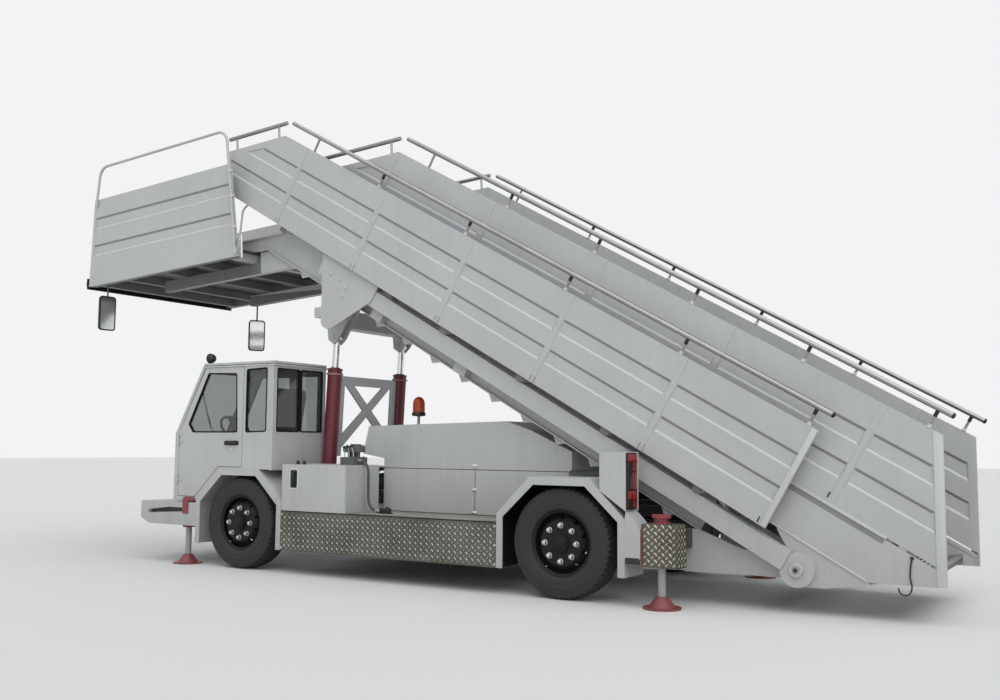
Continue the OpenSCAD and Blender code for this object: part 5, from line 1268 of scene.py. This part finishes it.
@dataclass
class Hydraulics:
    """The hose, the valve's manifold and levers, the cylinders' collars and glands."""

    foot: tuple[float, float] = (2958.0, 500.0)
    eye: tuple[float, float] = (2868.0, 2225.0)
    cylinder_y: float = 520.0
    barrel_length: float = 1400.0
    valve: tuple[float, float] = (2180.0, 570.0)
    hose_y: float = 985.0
    hose_radius: float = 12.0
    # Back from the valve block and up from the deck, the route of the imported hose
    route: tuple[Flat, ...] = ((-12.3, 460), (-64, 449), (-102, 412), (-117, 360), (-118, 300), (-120, 210),
                               (-123, 125), (-138, 73), (-172, 35), (-220, 22), (-250, 21))

    def build(self) -> None:
        """Builds the hydraulic pieces."""
        self.hose()
        self.levers()
        self.cylinders()

    def hose(self) -> None:
        """Builds the pressure hose along its route, with its ferrules."""
        path = smooth([(self.valve[0] + a, self.hose_y, self.valve[1] + b) for a, b in self.route])
        shape = Shape()
        shape.tube(path, self.hose_radius, 16)
        hose = shape.emit("pressure_hose", HOSE_SLEEVE, Body.CHASSIS, ["hydraulic_hose"])
        ends = Shape(drawing((0.0, self.hose_y, 1030.0), Y, Z, X))
        x = self.valve[0]
        ends.lathe([(13, x - 32), (15.5, x - 30), (15.5, x - 14), (19, x - 12), (19, x + 1), (12, x + 2)],
                   steps=24)
        ends.drawing = drawing((0.0, self.hose_y, 590.0), Y, Z, X)
        ends.lathe([(13, x - 205), (15.5, x - 208), (15.5, x - 240), (20, x - 242), (20, x - 262),
                    (12, x - 264)], steps=24)
        ferrules = ends.emit("hose_ferrules", NUT_ZINC, Body.CHASSIS)
        fitting = Shape(drawing((x - 314.0, self.hose_y, self.valve[1])))
        fitting.prism(rounded(rectangle((-64, -34), (64, 34)), 12), 0, 8)
        fitting.prism(rounded(rectangle((-54, -22), (54, 22)), 10), 7, 46)
        fitting.lathe([(15, 45), (15, 56), (10, 59), (4, 60)], (-24, 0), 20)
        fitting.emit("deck_junction_block", BLACK_FITTING_AND_PAINTED_SHADE, Body.CHASSIS, edge_mm=2)

    def levers(self) -> None:
        """Builds the three levers with round knobs, and the valve's manifold with its bolts."""
        rods, knobs, bolts = Shape(), Shape(), Shape(drawing((0.0, 0.0, 1060.0)))
        for k in range(3):
            x = 2205 + 50 * k
            top = (x - 8 * (k - 1), 1048.0, 1158.0 - 6 * k)
            rods.tube(smooth([(x, 1026, 1056), (x, 1030, 1100), top]), 5)
            knobs.drawing = drawing(top)
            knobs.lathe([(6, -12), (11, -8), (14, 0), (12, 8), (7, 12), (2, 14)], steps=20)
            bolts.bolt((x, 882), 14, 9)
        block = Shape(drawing((2255.0, 958.0, 0.0)))
        block.prism(rounded(rectangle((-92, -56), (86, 46)), 16), 1104, 1162)
        block.prism(rounded(rectangle((-60, -40), (30, 34)), 22), 1160, 1178)
        for a, b in ((-70, 28), (62, 24), (62, -36), (-70, -36)):
            block.bolt((a, b), 16, 10, 1162)
        block.lathe([(30, 1058), (30, 1066), (26, 1070), (26, 1105)], (0, 0), 32)
        block.drawing = drawing((2347.0, 950.0, 1126.0), Y, Z, X)
        block.lathe([(24, -10), (24, 26), (20, 32), (12, 34), (3, 35)], (0, 0), 28)
        block.emit("valve_manifold", CAST_GREY, Body.CHASSIS, edge_mm=1.5)
        rods.emit("valve_levers", NUT_ZINC, Body.CHASSIS)
        knobs.emit("valve_lever_knobs", BLACK_PLASTIC, Body.CHASSIS)
        bolts.emit("valve_bolts", NUT_ZINC, Body.CHASSIS)

    def cylinders(self) -> None:
        """Builds the faded collars on the barrels, and the glands that the rods pass."""
        way = Vector((self.eye[0] - self.foot[0], 0.0, self.eye[1] - self.foot[1])).normalized()
        axis = drawing((self.foot[0], self.cylinder_y, self.foot[1]), (way.z, 0.0, -way.x), Y, way)
        collars, glands = Shape(axis), Shape(axis)
        top = self.barrel_length
        for level in (398.0, top - 48):
            collars.lathe([(70, level), (80, level), (83, level + 3), (83, level + 15), (80, level + 18),
                           (70, level + 18)], steps=48, cyclic=True)
        glands.lathe([(68, top - 2), (75, top), (75, top + 12), (69, top + 17), (50, top + 18),
                      (48, top + 26), (36, top + 27), (36, top - 2)], steps=48, cyclic=True)
        collars.emit_pair("barrel_collars", COLLAR_PINK, Body.BARRELS)
        glands.emit_pair("rod_glands", LIFT_RED, Body.BARRELS)


@dataclass
class Lamps:
    """Tail lamps, head lamps and the beacon."""

    tail_x: float = -582.0
    tail_y: Flat = (1044.0, 1212.0)
    tail_split: float = 1116.0
    tail_z: Flat = (709.0, 1130.0)
    head_y: float = 1040.0
    head_z: float = 515.0
    head_radius: float = 55.0
    beacon_at: Point = (2020.0, 300.0, 1357.0)

    def build(self) -> None:
        """Builds the lamps."""
        self.tail()
        self.head()
        self.beacon()

    def tail(self) -> None:
        """Builds each tail lamp's tray with red, smoked and red lenses in it."""
        face = drawing((self.tail_x + 12.5, 0.0, 0.0), Y, Z, (-1.0, 0.0, 0.0))
        tray, red, smoked = Shape(face), Shape(face), Shape(face)
        outline = rectangle((self.tail_y[0], self.tail_z[0]), (self.tail_y[1], self.tail_z[1]))
        tray.prism(rounded(outline, 14), 0, 8)
        tray.frame_ring(rounded(outline, 14), rounded(offset(outline, -6), 9), 7, 14, 1)
        cuts = (self.tail_z[0] + 8, 780.0, 848.0, 990.0, 1060.0, self.tail_z[1] - 8)
        columns = ((self.tail_y[0] + 8, self.tail_split - 2, (red, red, red, red, red)),
                   (self.tail_split + 2, self.tail_y[1] - 8, (smoked, red, smoked, smoked, red)))
        for low, high, shapes in columns:
            for k, shape in enumerate(shapes):
                lens = rectangle((low, cuts[k] + 1.5), (high, cuts[k + 1] - 1.5))
                shape.loft([[(a, b, h) for a, b in rounded(offset(lens, room), 9)]
                            for room, h in ((0, 6), (0, 15), (-3, 19), (-12, 21))])
        for shape, name, finish in ((tray, "tail_lamp_trays", BLACK_PLASTIC),
                                    (red, "tail_lamp_lenses", RED_LENS),
                                    (smoked, "tail_lamp_smoked_lenses", SMOKED_LENS)):
            shape.emit_pair(name, finish, Body.CHASSIS, ["tail_lamps"])

    def head(self) -> None:
        """Builds the head lamps' bezels and glasses."""
        bezels, lenses = Shape(), Shape()
        r = self.head_radius
        for y in (self.head_y, -self.head_y):
            bezels.drawing = lenses.drawing = drawing((PLAN.bumper_front, y, self.head_z), Y, Z, X)
            bezels.lathe([(r - 3, 0.3), (r + 6, 0.3), (r + 6, 9), (r + 2, 15), (r - 3, 13)],
                         steps=48, cyclic=True)
            lenses.lathe([(r - 2, 0.5), (r - 2, 9), (0.8 * r, 14), (0.5 * r, 18), (0.1 * r, 19)], steps=48)
        bezels.emit("lamp_bezels", NUT_ZINC, Body.CHASSIS, ["head_lamps"])
        lenses.emit("lamp_glasses", CLEAR_LENS, Body.CHASSIS, ["head_lamps"])

    def beacon(self) -> None:
        """Builds the turning beacon: grey stalk, black base, ribbed amber dome."""
        at = drawing(self.beacon_at)
        stalk, base, dome = Shape(at), Shape(at), Shape(at)
        stalk.lathe([(44, -2), (44, 8), (38, 11), (18, 14), (14, 20), (14, 95)], steps=32)
        stalk.emit("beacon_stalk", LEG_GREY, Body.CHASSIS, ["beacon"])
        base.lathe([(20, 88), (56, 92), (66, 97), (66, 118), (61, 126), (20, 127)], steps=48)
        base.emit("beacon_base", BLACK_PLASTIC, Body.CHASSIS, ["beacon"])
        ribs = [(58.5 - (0.0 if k % 2 else 1.6), 130 + 7.0 * k) for k in range(13)]
        dome.lathe([(57, 124), *ribs, (56, 224), (50, 243), (40, 258), (24, 270), (8, 275), (2, 275.5)],
                   steps=64)
        dome.emit("beacon_dome", AMBER_LENS, Body.CHASSIS, ["beacon"])


@dataclass
class Flights:
    """Slots, folds, edges, screws, posts, pivots and the hook of the two flights of stairs."""

    lower_seams: tuple[float, ...] = (-2300, -1310, -81, 1148, 2377, 3606)
    upper_seams: tuple[float, ...] = (86, 1202, 2318, 3434)
    # Upper edges of the pressed fields, down from the panel's top
    field_rows: tuple[float, ...] = (208.0, 480.0)
    field_height: float = 132.0
    lower_rail: tuple[float, float] = (772.5, 2581.0)
    upper_rail: tuple[float, float] = (912.5, 2217.0)
    lower_rail_start: float = -1728.6
    upper_rail_start: float = -1066.0
    lower_posts: tuple[float, ...] = (101, 1069, 2042, 3005, 3975)
    upper_posts: tuple[float, ...] = (117, 1217, 2358, 3494, 4599)
    # Eye of the rods: place forward, and place off the slope
    eye: Flat = (2868.0, 530.5)
    pivot: Flat = (-1720.0, 315.0)

    def build(self) -> None:
        """Builds the flights' small parts."""
        self.marks()
        self.folds()
        self.edges()
        self.screws()
        self.posts()
        self.pivots()
        self.hooks()

    @staticmethod
    def crossing(n: float, peak: Flat) -> float:
        """Place along the slope where its line n meets the fields' level upper limit.

        Args:
            n: Line off the slope.
            peak: Panel's peak in side view.

        Returns:
            Place along the slope.
        """
        level = peak[1] - 60 + math.tan(TILT) * peak[0]
        x = (level - n / math.cos(SLOPE)) / (math.tan(SLOPE) + math.tan(TILT))
        return (x + n * math.sin(SLOPE)) / math.cos(SLOPE)

    def folds(self) -> None:
        """Builds the soft bends at the pressed fields: darker enamel above is painted shade with some dirt,
        lighter enamel below is painted highlight.
        """
        rows = (("lower", Body.STAIRS, PLAN.lower_half, (*self.lower_seams, 4300), PLAN.lower_top,
                 (-2639, 2890), 1940.0),
                ("upper", Body.UPPER, PLAN.upper_half, (-1030, *self.upper_seams, 4550, 5666),
                 PLAN.upper_top, (-1500, 3998), 3246.0))
        for name, body, y, seams, top, (x0, x1), peak_x in rows:
            peak = (peak_x, (top + peak_x * math.sin(SLOPE)) / math.cos(SLOPE))
            shaded, lit = Shape(), Shape()
            inner = drawing((0.0, y - 25.0, 0.0), UP_SLOPE, OFF_SLOPE, (0.0, -1.0, 0.0))
            for face, down in product((slope_face(y), inner), self.field_rows):
                shaded.drawing = lit.drawing = face
                for shape, n, turn in ((shaded, top - down, -1), (lit, top - down - self.field_height, 1)):
                    lowest = -1003.5 if name == "upper" else (x0 + n * math.sin(SLOPE)) / math.cos(SLOPE)
                    highest = min((x1 + n * math.sin(SLOPE)) / math.cos(SLOPE), self.crossing(n, peak))
                    for a, b in zip(seams, seams[1:]):
                        start, end = max(a + 27, lowest), min(b - 27, highest)
                        if end - start > 60:
                            shape.fold((start + 9, end - 9), n, turn)
            shaded.emit_pair(f"{name}_folds_painted_shade", ENAMEL_PAINTED_SHADE, body)
            lit.emit_pair(f"{name}_folds_painted_highlight", ENAMEL_TRIM_AND_HIGHLIGHT, body)

    def edges(self) -> None:
        """Builds the panels' foot edges with painted highlight, and painted shade on the web and at the
        arms.
        """
        # The foot strips and edges wear the lighter enamel, partly as painted highlight
        upper = Shape(slope_face(PLAN.upper_half))
        upper.prism([(-1029, 1273), (-984, 1273), (-984, 2071), (-1029, 2071)], 1.5, 4.5)
        upper.emit_pair("upper_panel_foot_strip", ENAMEL_TRIM_AND_HIGHLIGHT, Body.UPPER, edge_mm=1)
        lower = Shape(side_face(PLAN.lower_half))
        lower.prism([(-2703, 257), (-2641, 257), (-2641, 1305), (-2703, 1270)], -0.5, 4)
        lower.drawing = slope_face(PLAN.lower_half)
        lower.prism(rectangle((-1748, 1624), (-900, 1646)), -0.5, 11)
        lower.prism(rectangle((-1778, 1300), (-880, 1313)), 0.5, 13)
        lower.emit_pair("lower_panel_edges", ENAMEL_TRIM_AND_HIGHLIGHT, Body.STAIRS, edge_mm=1)
        # A darker band on the web below the lower panels' edge: painted shade
        band = Shape(slope_face(PLAN.lower_half))
        band.prism([(-1741, 1586), (-1741, 1623), (-900, 1623), (-900, 1586)], 0.5, 2)
        band.emit_pair("web_painted_shade_band", ENAMEL_PAINTED_SHADE, Body.STAIRS)
        # A black sheet where the gap at the upper flight's arms falls into shade: painted shade
        gap_shade = Shape(slope_face(PLAN.lower_half))
        gap_shade.prism([(-929, 1247), (-957, 1297), (-1062, 1297), (-1119, 1247)], 3, 5)
        gap_shade.emit_pair("arm_gap_painted_shade", SEAL_RUBBER_AND_PAINTED_SHADE, Body.UPPER)

    def marks(self) -> None:
        """Builds the pairs of slots pressed into the panels beside the seams, black inside as painted shade.
        """
        dark, pale = Shape(slope_face(PLAN.upper_half)), Shape(slope_face(PLAN.upper_half))
        for s in (*self.upper_seams, 4550.0, -980.0):
            for start, width in ((s - 24, 13), (s + 16, 9)):
                end = start + width
                dark.frame_ring(rounded(rectangle((start, 1282), (end, 1328)), 3, 3),
                                rounded(rectangle((start + 1, 1285), (end - 1, 1325)), 2, 3), -1, 3.2)
                dark.prism(rectangle((start + 0.8, 1284), (end - 0.8, 1326)), -1, 1.0)
        pale.drawing = slope_face(PLAN.lower_half)
        for s in (self.lower_seams[1] - 6, self.lower_seams[1] + 32):
            pale.prism(rectangle((s, 1672), (s + 11, 1716)), -1, 1.0)
        dark.emit_pair("upper_panel_slots_painted_shade", BLACK_FITTING_AND_PAINTED_SHADE, Body.UPPER)
        pale.emit_pair("lower_panel_slots_painted_shade", BLACK_FITTING_AND_PAINTED_SHADE, Body.STAIRS)

    def screws(self) -> None:
        """Builds the round screw heads along the panels' strips."""
        rows = (("lower", Body.STAIRS, PLAN.lower_half, self.lower_seams, 1636.0, PLAN.lower_top),
                ("upper", Body.UPPER, PLAN.upper_half, self.upper_seams, 1272.0, PLAN.upper_top))
        for name, body, y, seams, lo, hi in rows:
            shape = Shape(slope_face(y + 2.4))
            for seam in seams:
                if name == "lower" and seam == self.lower_seams[1]:
                    continue
                for k in range(9):
                    n = lo + 45 + k * (hi - lo - 90) / 8
                    if seam * math.cos(SLOPE) - n * math.sin(SLOPE) < -2690:
                        continue
                    for s in (seam - 11, seam + 11):
                        shape.lathe([(5.5, 0), (5, 1.4), (3, 2.2), (0.6, 2.3)], (s, n), 10)
            shape.emit_pair(f"{name}_strip_screws", NUT_ZINC, body)

    def posts(self) -> None:
        """Builds the clamps under the posts, the sleeves under the rails and the rails' end caps."""
        rows = (("lower", Body.STAIRS, self.lower_rail, self.lower_rail_start, self.lower_posts,
                 PLAN.lower_top),
                ("upper", Body.UPPER, self.upper_rail, self.upper_rail_start, self.upper_posts,
                 PLAN.upper_top))
        for name, body, (y, rail_n), start, posts, top in rows:
            sleeves, clamps, caps = Shape(), Shape(), Shape()
            for post in posts:
                s = start + post
                origin = [s * UP_SLOPE[k] for k in range(3)]
                origin[1] = y
                at = drawing(origin, UP_SLOPE, Y, OFF_SLOPE)
                sleeves.drawing = clamps.drawing = at
                sleeves.lathe([(11, rail_n - 62), (14.5, rail_n - 60), (14.5, rail_n - 19),
                               (11, rail_n - 18)], steps=20, cyclic=True)
                clamps.lathe([(11, top - 1), (19, top - 1), (19, top + 7), (14, top + 11), (14, top + 26),
                              (11, top + 27)], steps=20, cyclic=True)
            origin = [start * UP_SLOPE[k] + rail_n * OFF_SLOPE[k] for k in range(3)]
            origin[1] = y
            caps.drawing = drawing(origin, Y, OFF_SLOPE, [-way for way in UP_SLOPE])
            caps.lathe([(20, -6), (21.2, -4), (21.2, 3), (18, 9), (10, 13), (2, 14)], steps=24)
            sleeves.emit_pair(f"{name}_post_sleeves", BLACK_PLASTIC, body)
            clamps.emit_pair(f"{name}_post_clamps", ENAMEL_TRIM_AND_HIGHLIGHT, body)
            caps.emit_pair(f"{name}_rail_caps", BLACK_PLASTIC, body)

    def pivots(self) -> None:
        """Builds the ring and the bolt of each pivot, and the bolts of the cylinder brackets."""
        ring, bolt = Shape(side_face(865.0)), Shape(side_face(865.0))
        centre = self.pivot
        ring.lathe([(27, 0), (27, 7), (44, 9), (50, 5), (51, -2), (27, -2)], centre, 40, cyclic=True)
        ring.emit_pair("pivot_boss_rings", ENAMEL, Body.STAIRS)
        bolt.drawing = side_face(877.0)
        bolt.bolt(centre, 22, 11)
        bolt.emit_pair("pivot_bolts", BLACK_FITTING_AND_PAINTED_SHADE, Body.STAIRS)
        plates = Shape(slope_face(883.0))
        eye_s = self.eye_place()
        for ds, dn in ((-150, 560), (-40, 600), (80, 600), (-150, 480)):
            plates.bolt((eye_s + ds, self.eye[1] + dn), 26, 12)
        plates.emit_pair("bracket_bolts", ENAMEL_TRIM_AND_HIGHLIGHT, Body.STAIRS)

    def eye_place(self) -> float:
        """Place of the rods' eyes along the slope."""
        return (self.eye[0] + self.eye[1] * math.sin(SLOPE)) / math.cos(SLOPE)

    def hooks(self) -> None:
        """Builds the hook of the safety chain at the foot of the lower flight."""
        hook = Shape(side_face(PLAN.lower_half))
        hook.tube(smooth([(-2488, 440, 9), (-2478, 380, 11), (-2474, 310, 11), (-2484, 250, 11),
                          (-2470, 205, 11), (-2440, 190, 11), (-2408, 204, 11), (-2396, 236, 11)]), 5.5, 12)
        hook.lathe([(12, -1), (12, 9), (9, 13), (3, 14)], (-2488, 440), 20)
        hook.emit("foot_hook", BLACK_FITTING_AND_PAINTED_SHADE, Body.STAIRS)


@dataclass
class Platform:
    """Buffer, mirrors, hoop saddles, folds and catches of the boarding platform."""

    hoop_radius: float = 14.0
    # Foot and top of the hoops' leaning legs
    hoop_foot: Flat = (15.0, 20.0)
    hoop_head: Flat = (110.0, 1310.0)
    # Place along the floor, place across, drop of the middle and turn of each mirror
    mirrors: tuple[tuple[float, float, float, float], ...] = ((2170, 900, 293, 3), (1730, -950, 418, 30))
    mirror_size: Flat = (200.0, 380.0)
    # Upper and lower edge of each pressed field
    field_rows: tuple[Flat, ...] = ((760.0, 628.0), (455.0, 329.0))
    # Start and end of the fields at the floor, and how far they have drawn in at the panel's top
    field_reach: Flat = (50.0, 2244.0)
    field_lean: Flat = (80.0, -104.0)
    panel_height: float = 960.0

    def build(self) -> None:
        """Builds the platform's pieces."""
        self.buffer()
        self.clamps()
        self.hanging_mirrors()
        self.catches()
        self.folds()

    def buffer(self) -> None:
        """Builds the soft D-shaped rubber along the platform's front edge."""
        u = PLAN.platform_len + 0.5
        half = [(u + 24 + 16 * math.sin(math.pi * k / 10), -22 + 115 * k / 10) for k in range(11)]
        section = [(u, 94), (u, -23), (u + 24, -24), *half, (u + 24, 95)]
        rubber = Shape(platform_side(0.0))
        rubber.loft([[(a, b, y) for a, b in section] for y in (-PLAN.platform_half, PLAN.platform_half)])
        rubber.emit("front_buffer_rubber", SEAL_RUBBER_AND_PAINTED_SHADE, Body.PLATFORM)

    def clamps(self) -> None:
        """Builds the saddles that hold the hoops to the panels."""
        saddles = Shape(platform_side(PLAN.platform_half))
        radius = self.hoop_radius
        lean = (self.hoop_head[0] - self.hoop_foot[0]) / (self.hoop_head[1] - self.hoop_foot[1])
        for w in (300.0, 620.0, 880.0):
            u = self.hoop_foot[0] + (w - self.hoop_foot[1]) * lean
            rings = []
            for dw in (-14, 14):
                rings.append([(u - 34, w + dw, -0.5), (u - 34, w + dw, 3), (u - radius - 3, w + dw, 4),
                              (u - radius - 2, w + dw, 22), (u - 8, w + dw, 31), (u + 8, w + dw, 31),
                              (u + radius + 2, w + dw, 22), (u + radius + 3, w + dw, 4), (u + 34, w + dw, 3),
                              (u + 34, w + dw, -0.5)])
            saddles.loft(rings)
            saddles.bolt((u - 25, w), 11, 6, 3)
            saddles.bolt((u + 25, w), 11, 6, 3)
        saddles.emit_pair("hoop_saddles", ENAMEL_TRIM_AND_HIGHLIGHT, Body.PLATFORM, edge_mm=1)

    def hanging_mirrors(self) -> None:
        """Builds each mirror's moulded frame and its glass, which looks back to the driver."""
        width, height = self.mirror_size
        outline = rectangle((-width / 2, -height / 2), (width / 2, height / 2))
        looking_back = Matrix(((0, 0, -1, 0), (-1, 0, 0, 0), (0, 1, 0, 0), (0, 0, 0, 1)))
        frames, glasses = Shape(), Shape()
        for u, y, drop, turn in self.mirrors:
            at = platform_side(0.0) @ Vector((u, 0.0, 0.0))
            angle = math.radians(-turn)
            face = (Matrix.Translation((at.x, y * MM, at.z - drop * MM)) @ Matrix.Rotation(angle, 4, "Z")
                    @ Matrix.Scale(MM, 4) @ looking_back)
            frames.drawing = glasses.drawing = face
            frames.frame_ring(rounded(offset(outline, 1), 41), rounded(offset(outline, -13), 28), 9, 15, 3)
            glasses.prism(rounded(offset(outline, -12), 29), 12, 13.2)
        frames.emit("mirror_frames", BLACK_PLASTIC, Body.PLATFORM)
        glasses.emit("mirror_glasses", MIRROR_GLASS, Body.PLATFORM)

    def folds(self) -> None:
        """Builds the soft bends at the pressed fields of the platform's sides, with painted shade above and
        painted highlight below.
        """
        shaded, lit = Shape(), Shape()
        outer = platform_side(PLAN.platform_half)
        inner = drawing((PLAN.platform_at[0], PLAN.platform_half - 25.0, PLAN.platform_at[1]), FORWARD,
                        UPWARD, (0.0, -1.0, 0.0))
        for face, (high, low) in product((outer, inner), self.field_rows):
            shaded.drawing = lit.drawing = face
            for shape, w, turn in ((shaded, high, -1), (lit, low, 1)):
                reach = [at + lean * w / self.panel_height
                         for at, lean in zip(self.field_reach, self.field_lean)]
                shape.fold(reach, w, turn)
        shaded.emit_pair("platform_folds_painted_shade", ENAMEL_PAINTED_SHADE, Body.PLATFORM)
        lit.emit_pair("platform_folds_painted_highlight", ENAMEL_TRIM_AND_HIGHLIGHT, Body.PLATFORM)

    def catches(self) -> None:
        """Builds the catch on each side of the platform, and the chromed bar beside it."""
        catch, bar = Shape(), Shape()
        catch.drawing = platform_side(PLAN.platform_half)
        catch.prism(rounded(rectangle((8, 90), (46, 150)), 6, 3), -0.5, 12)
        catch.bolt((27, 120), 18, 9, 12)
        catch.emit_pair("platform_catches", BLACK_FITTING_AND_PAINTED_SHADE, Body.PLATFORM, edge_mm=1)
        bar.drawing = platform_side(PLAN.platform_half - 14)
        bar.tube([(-52, -24, 0), (-52, 60, 0), (-52, 150, 0), (-52, 208, 0)], 11, 16)
        for w in (36, 158):
            bar.prism([(-60, w), (10, w), (10, w + 16), (-60, w + 16)], -4, 4)
        bar.emit_pair("platform_catch_bars", ROD_CHROME, Body.PLATFORM)


@dataclass
class Studio:
    """The pale floor, the soft lights and the camera."""

    camera_from_axle: tuple[float, float, float] = (-3.895, 8.299, 1.183)
    yaw_deg: float = 32.05
    pitch_deg: float = 5.204
    roll_deg: float = 0.46
    focal_px: float = 1039.4
    image_width_px: int = 1000
    sensor_mm: float = 36.0
    floor_half: float = 60.0
    floor_colour: str = "D9D9D6"
    sky_colour: str = "F2F3F4"
    ambient_colour: str = "E8EDF2"
    ambient: float = 0.55
    view_depth: float = 300.0
    # Name, way of the light, strength and angular spread
    suns: tuple[tuple[str, Point, float, float], ...] = (
        ("overhead", (0.3, -0.3, -1.0), 1.45, 80.0), ("side", (0.65, -0.65, -0.45), 0.75, 80.0))

    def build(self) -> None:
        """Sets up floor, world, lamps and camera."""
        self.floor()
        self.world()
        self.lamps()
        self.camera()
        view = bpy.context.scene.view_settings
        view.view_transform = "Standard"
        log.info("studio ready")

    def floor(self) -> None:
        """Lays a plain pale floor."""
        bpy.ops.mesh.primitive_plane_add(size=2 * self.floor_half)
        plane = bpy.context.object
        plane.name = "studio_floor"
        surface = bpy.data.materials.new("plain_pale_floor")
        surface.use_nodes = True
        tree = surface.node_tree
        tree.nodes.clear()
        shader = add(tree, "BsdfPrincipled",
                     inputs={"Base Color": linear(self.floor_colour), "Roughness": 0.9})
        add(tree, "OutputMaterial", inputs={"Surface": shader.outputs[0]})
        plane.data.materials.append(surface)

    def world(self) -> None:
        """Lights the scene evenly and shows a pale background to the camera and in gloss."""
        world = bpy.data.worlds.new("studio")
        bpy.context.scene.world = world
        world.use_nodes = True
        tree = world.node_tree
        tree.nodes.clear()
        path = add(tree, "LightPath")
        seen = add(tree, "Math", {"operation": "MAXIMUM"}, {0: path.outputs["Is Camera Ray"],
                                                            1: path.outputs["Is Transmission Ray"]})
        seen_all = add(tree, "Math", {"operation": "MAXIMUM"}, {0: seen.outputs[0],
                                                                1: path.outputs["Is Glossy Ray"]})
        light = add(tree, "Background",
                    inputs={"Color": linear(self.ambient_colour), "Strength": self.ambient})
        shown = add(tree, "Background", inputs={"Color": linear(self.sky_colour), "Strength": 1.0})
        mixed = add(tree, "MixShader",
                    inputs={0: seen_all.outputs[0], 1: light.outputs[0], 2: shown.outputs[0]})
        add(tree, "OutputWorld", inputs={"Surface": mixed.outputs[0]})

    def lamps(self) -> None:
        """Hangs two broad suns, so that the floor and the vehicle are lit alike everywhere."""
        for name, ahead, strength, spread_deg in self.suns:
            data = bpy.data.lights.new(name, "SUN")
            data.energy = strength
            data.angle = math.radians(spread_deg)
            lamp = bpy.data.objects.new(name, data)
            lamp.rotation_euler = Vector(ahead).to_track_quat("-Z", "Y").to_euler()
            bpy.context.scene.collection.objects.link(lamp)

    def camera(self) -> None:
        """Stands the camera where the photograph was taken from."""
        yaw, pitch, roll = (math.radians(a) for a in (self.yaw_deg, self.pitch_deg, self.roll_deg))
        ahead = Vector((math.sin(yaw) * math.cos(pitch), -math.cos(yaw) * math.cos(pitch), math.sin(pitch)))
        right = Vector((-math.cos(yaw), -math.sin(yaw), 0.0))
        up = right.cross(ahead)
        right, up = (math.cos(roll) * right + math.sin(roll) * up,
                     -math.sin(roll) * right + math.cos(roll) * up)
        x, y, z = self.camera_from_axle
        data = bpy.data.cameras.new("photo_view")
        data.sensor_fit = "HORIZONTAL"
        data.sensor_width = self.sensor_mm
        data.lens = self.focal_px * self.sensor_mm / self.image_width_px
        data.clip_end = self.view_depth
        camera = bpy.data.objects.new("photo_view", data)
        turned = Matrix((right, up, -ahead)).transposed().to_4x4()
        camera.matrix_world = Matrix.Translation((x + REAR_AXLE_X, y, z)) @ turned
        bpy.context.scene.collection.objects.link(camera)
        bpy.context.scene.camera = camera


def main() -> None:
    """Builds the studio and dresses each group in order."""
    logging.basicConfig(level=logging.INFO, format="%(message)s")
    Studio().build()
    for group in DRESSINGS:
        group.dress()
    for region in REGIONS:
        region.dress()
    for assembly in (Wheels, TreadPlates, Cab, Bodywork, Hydraulics, Lamps, Flights, Platform):
        assembly().build()


if __name__ == "__main__":
    main()
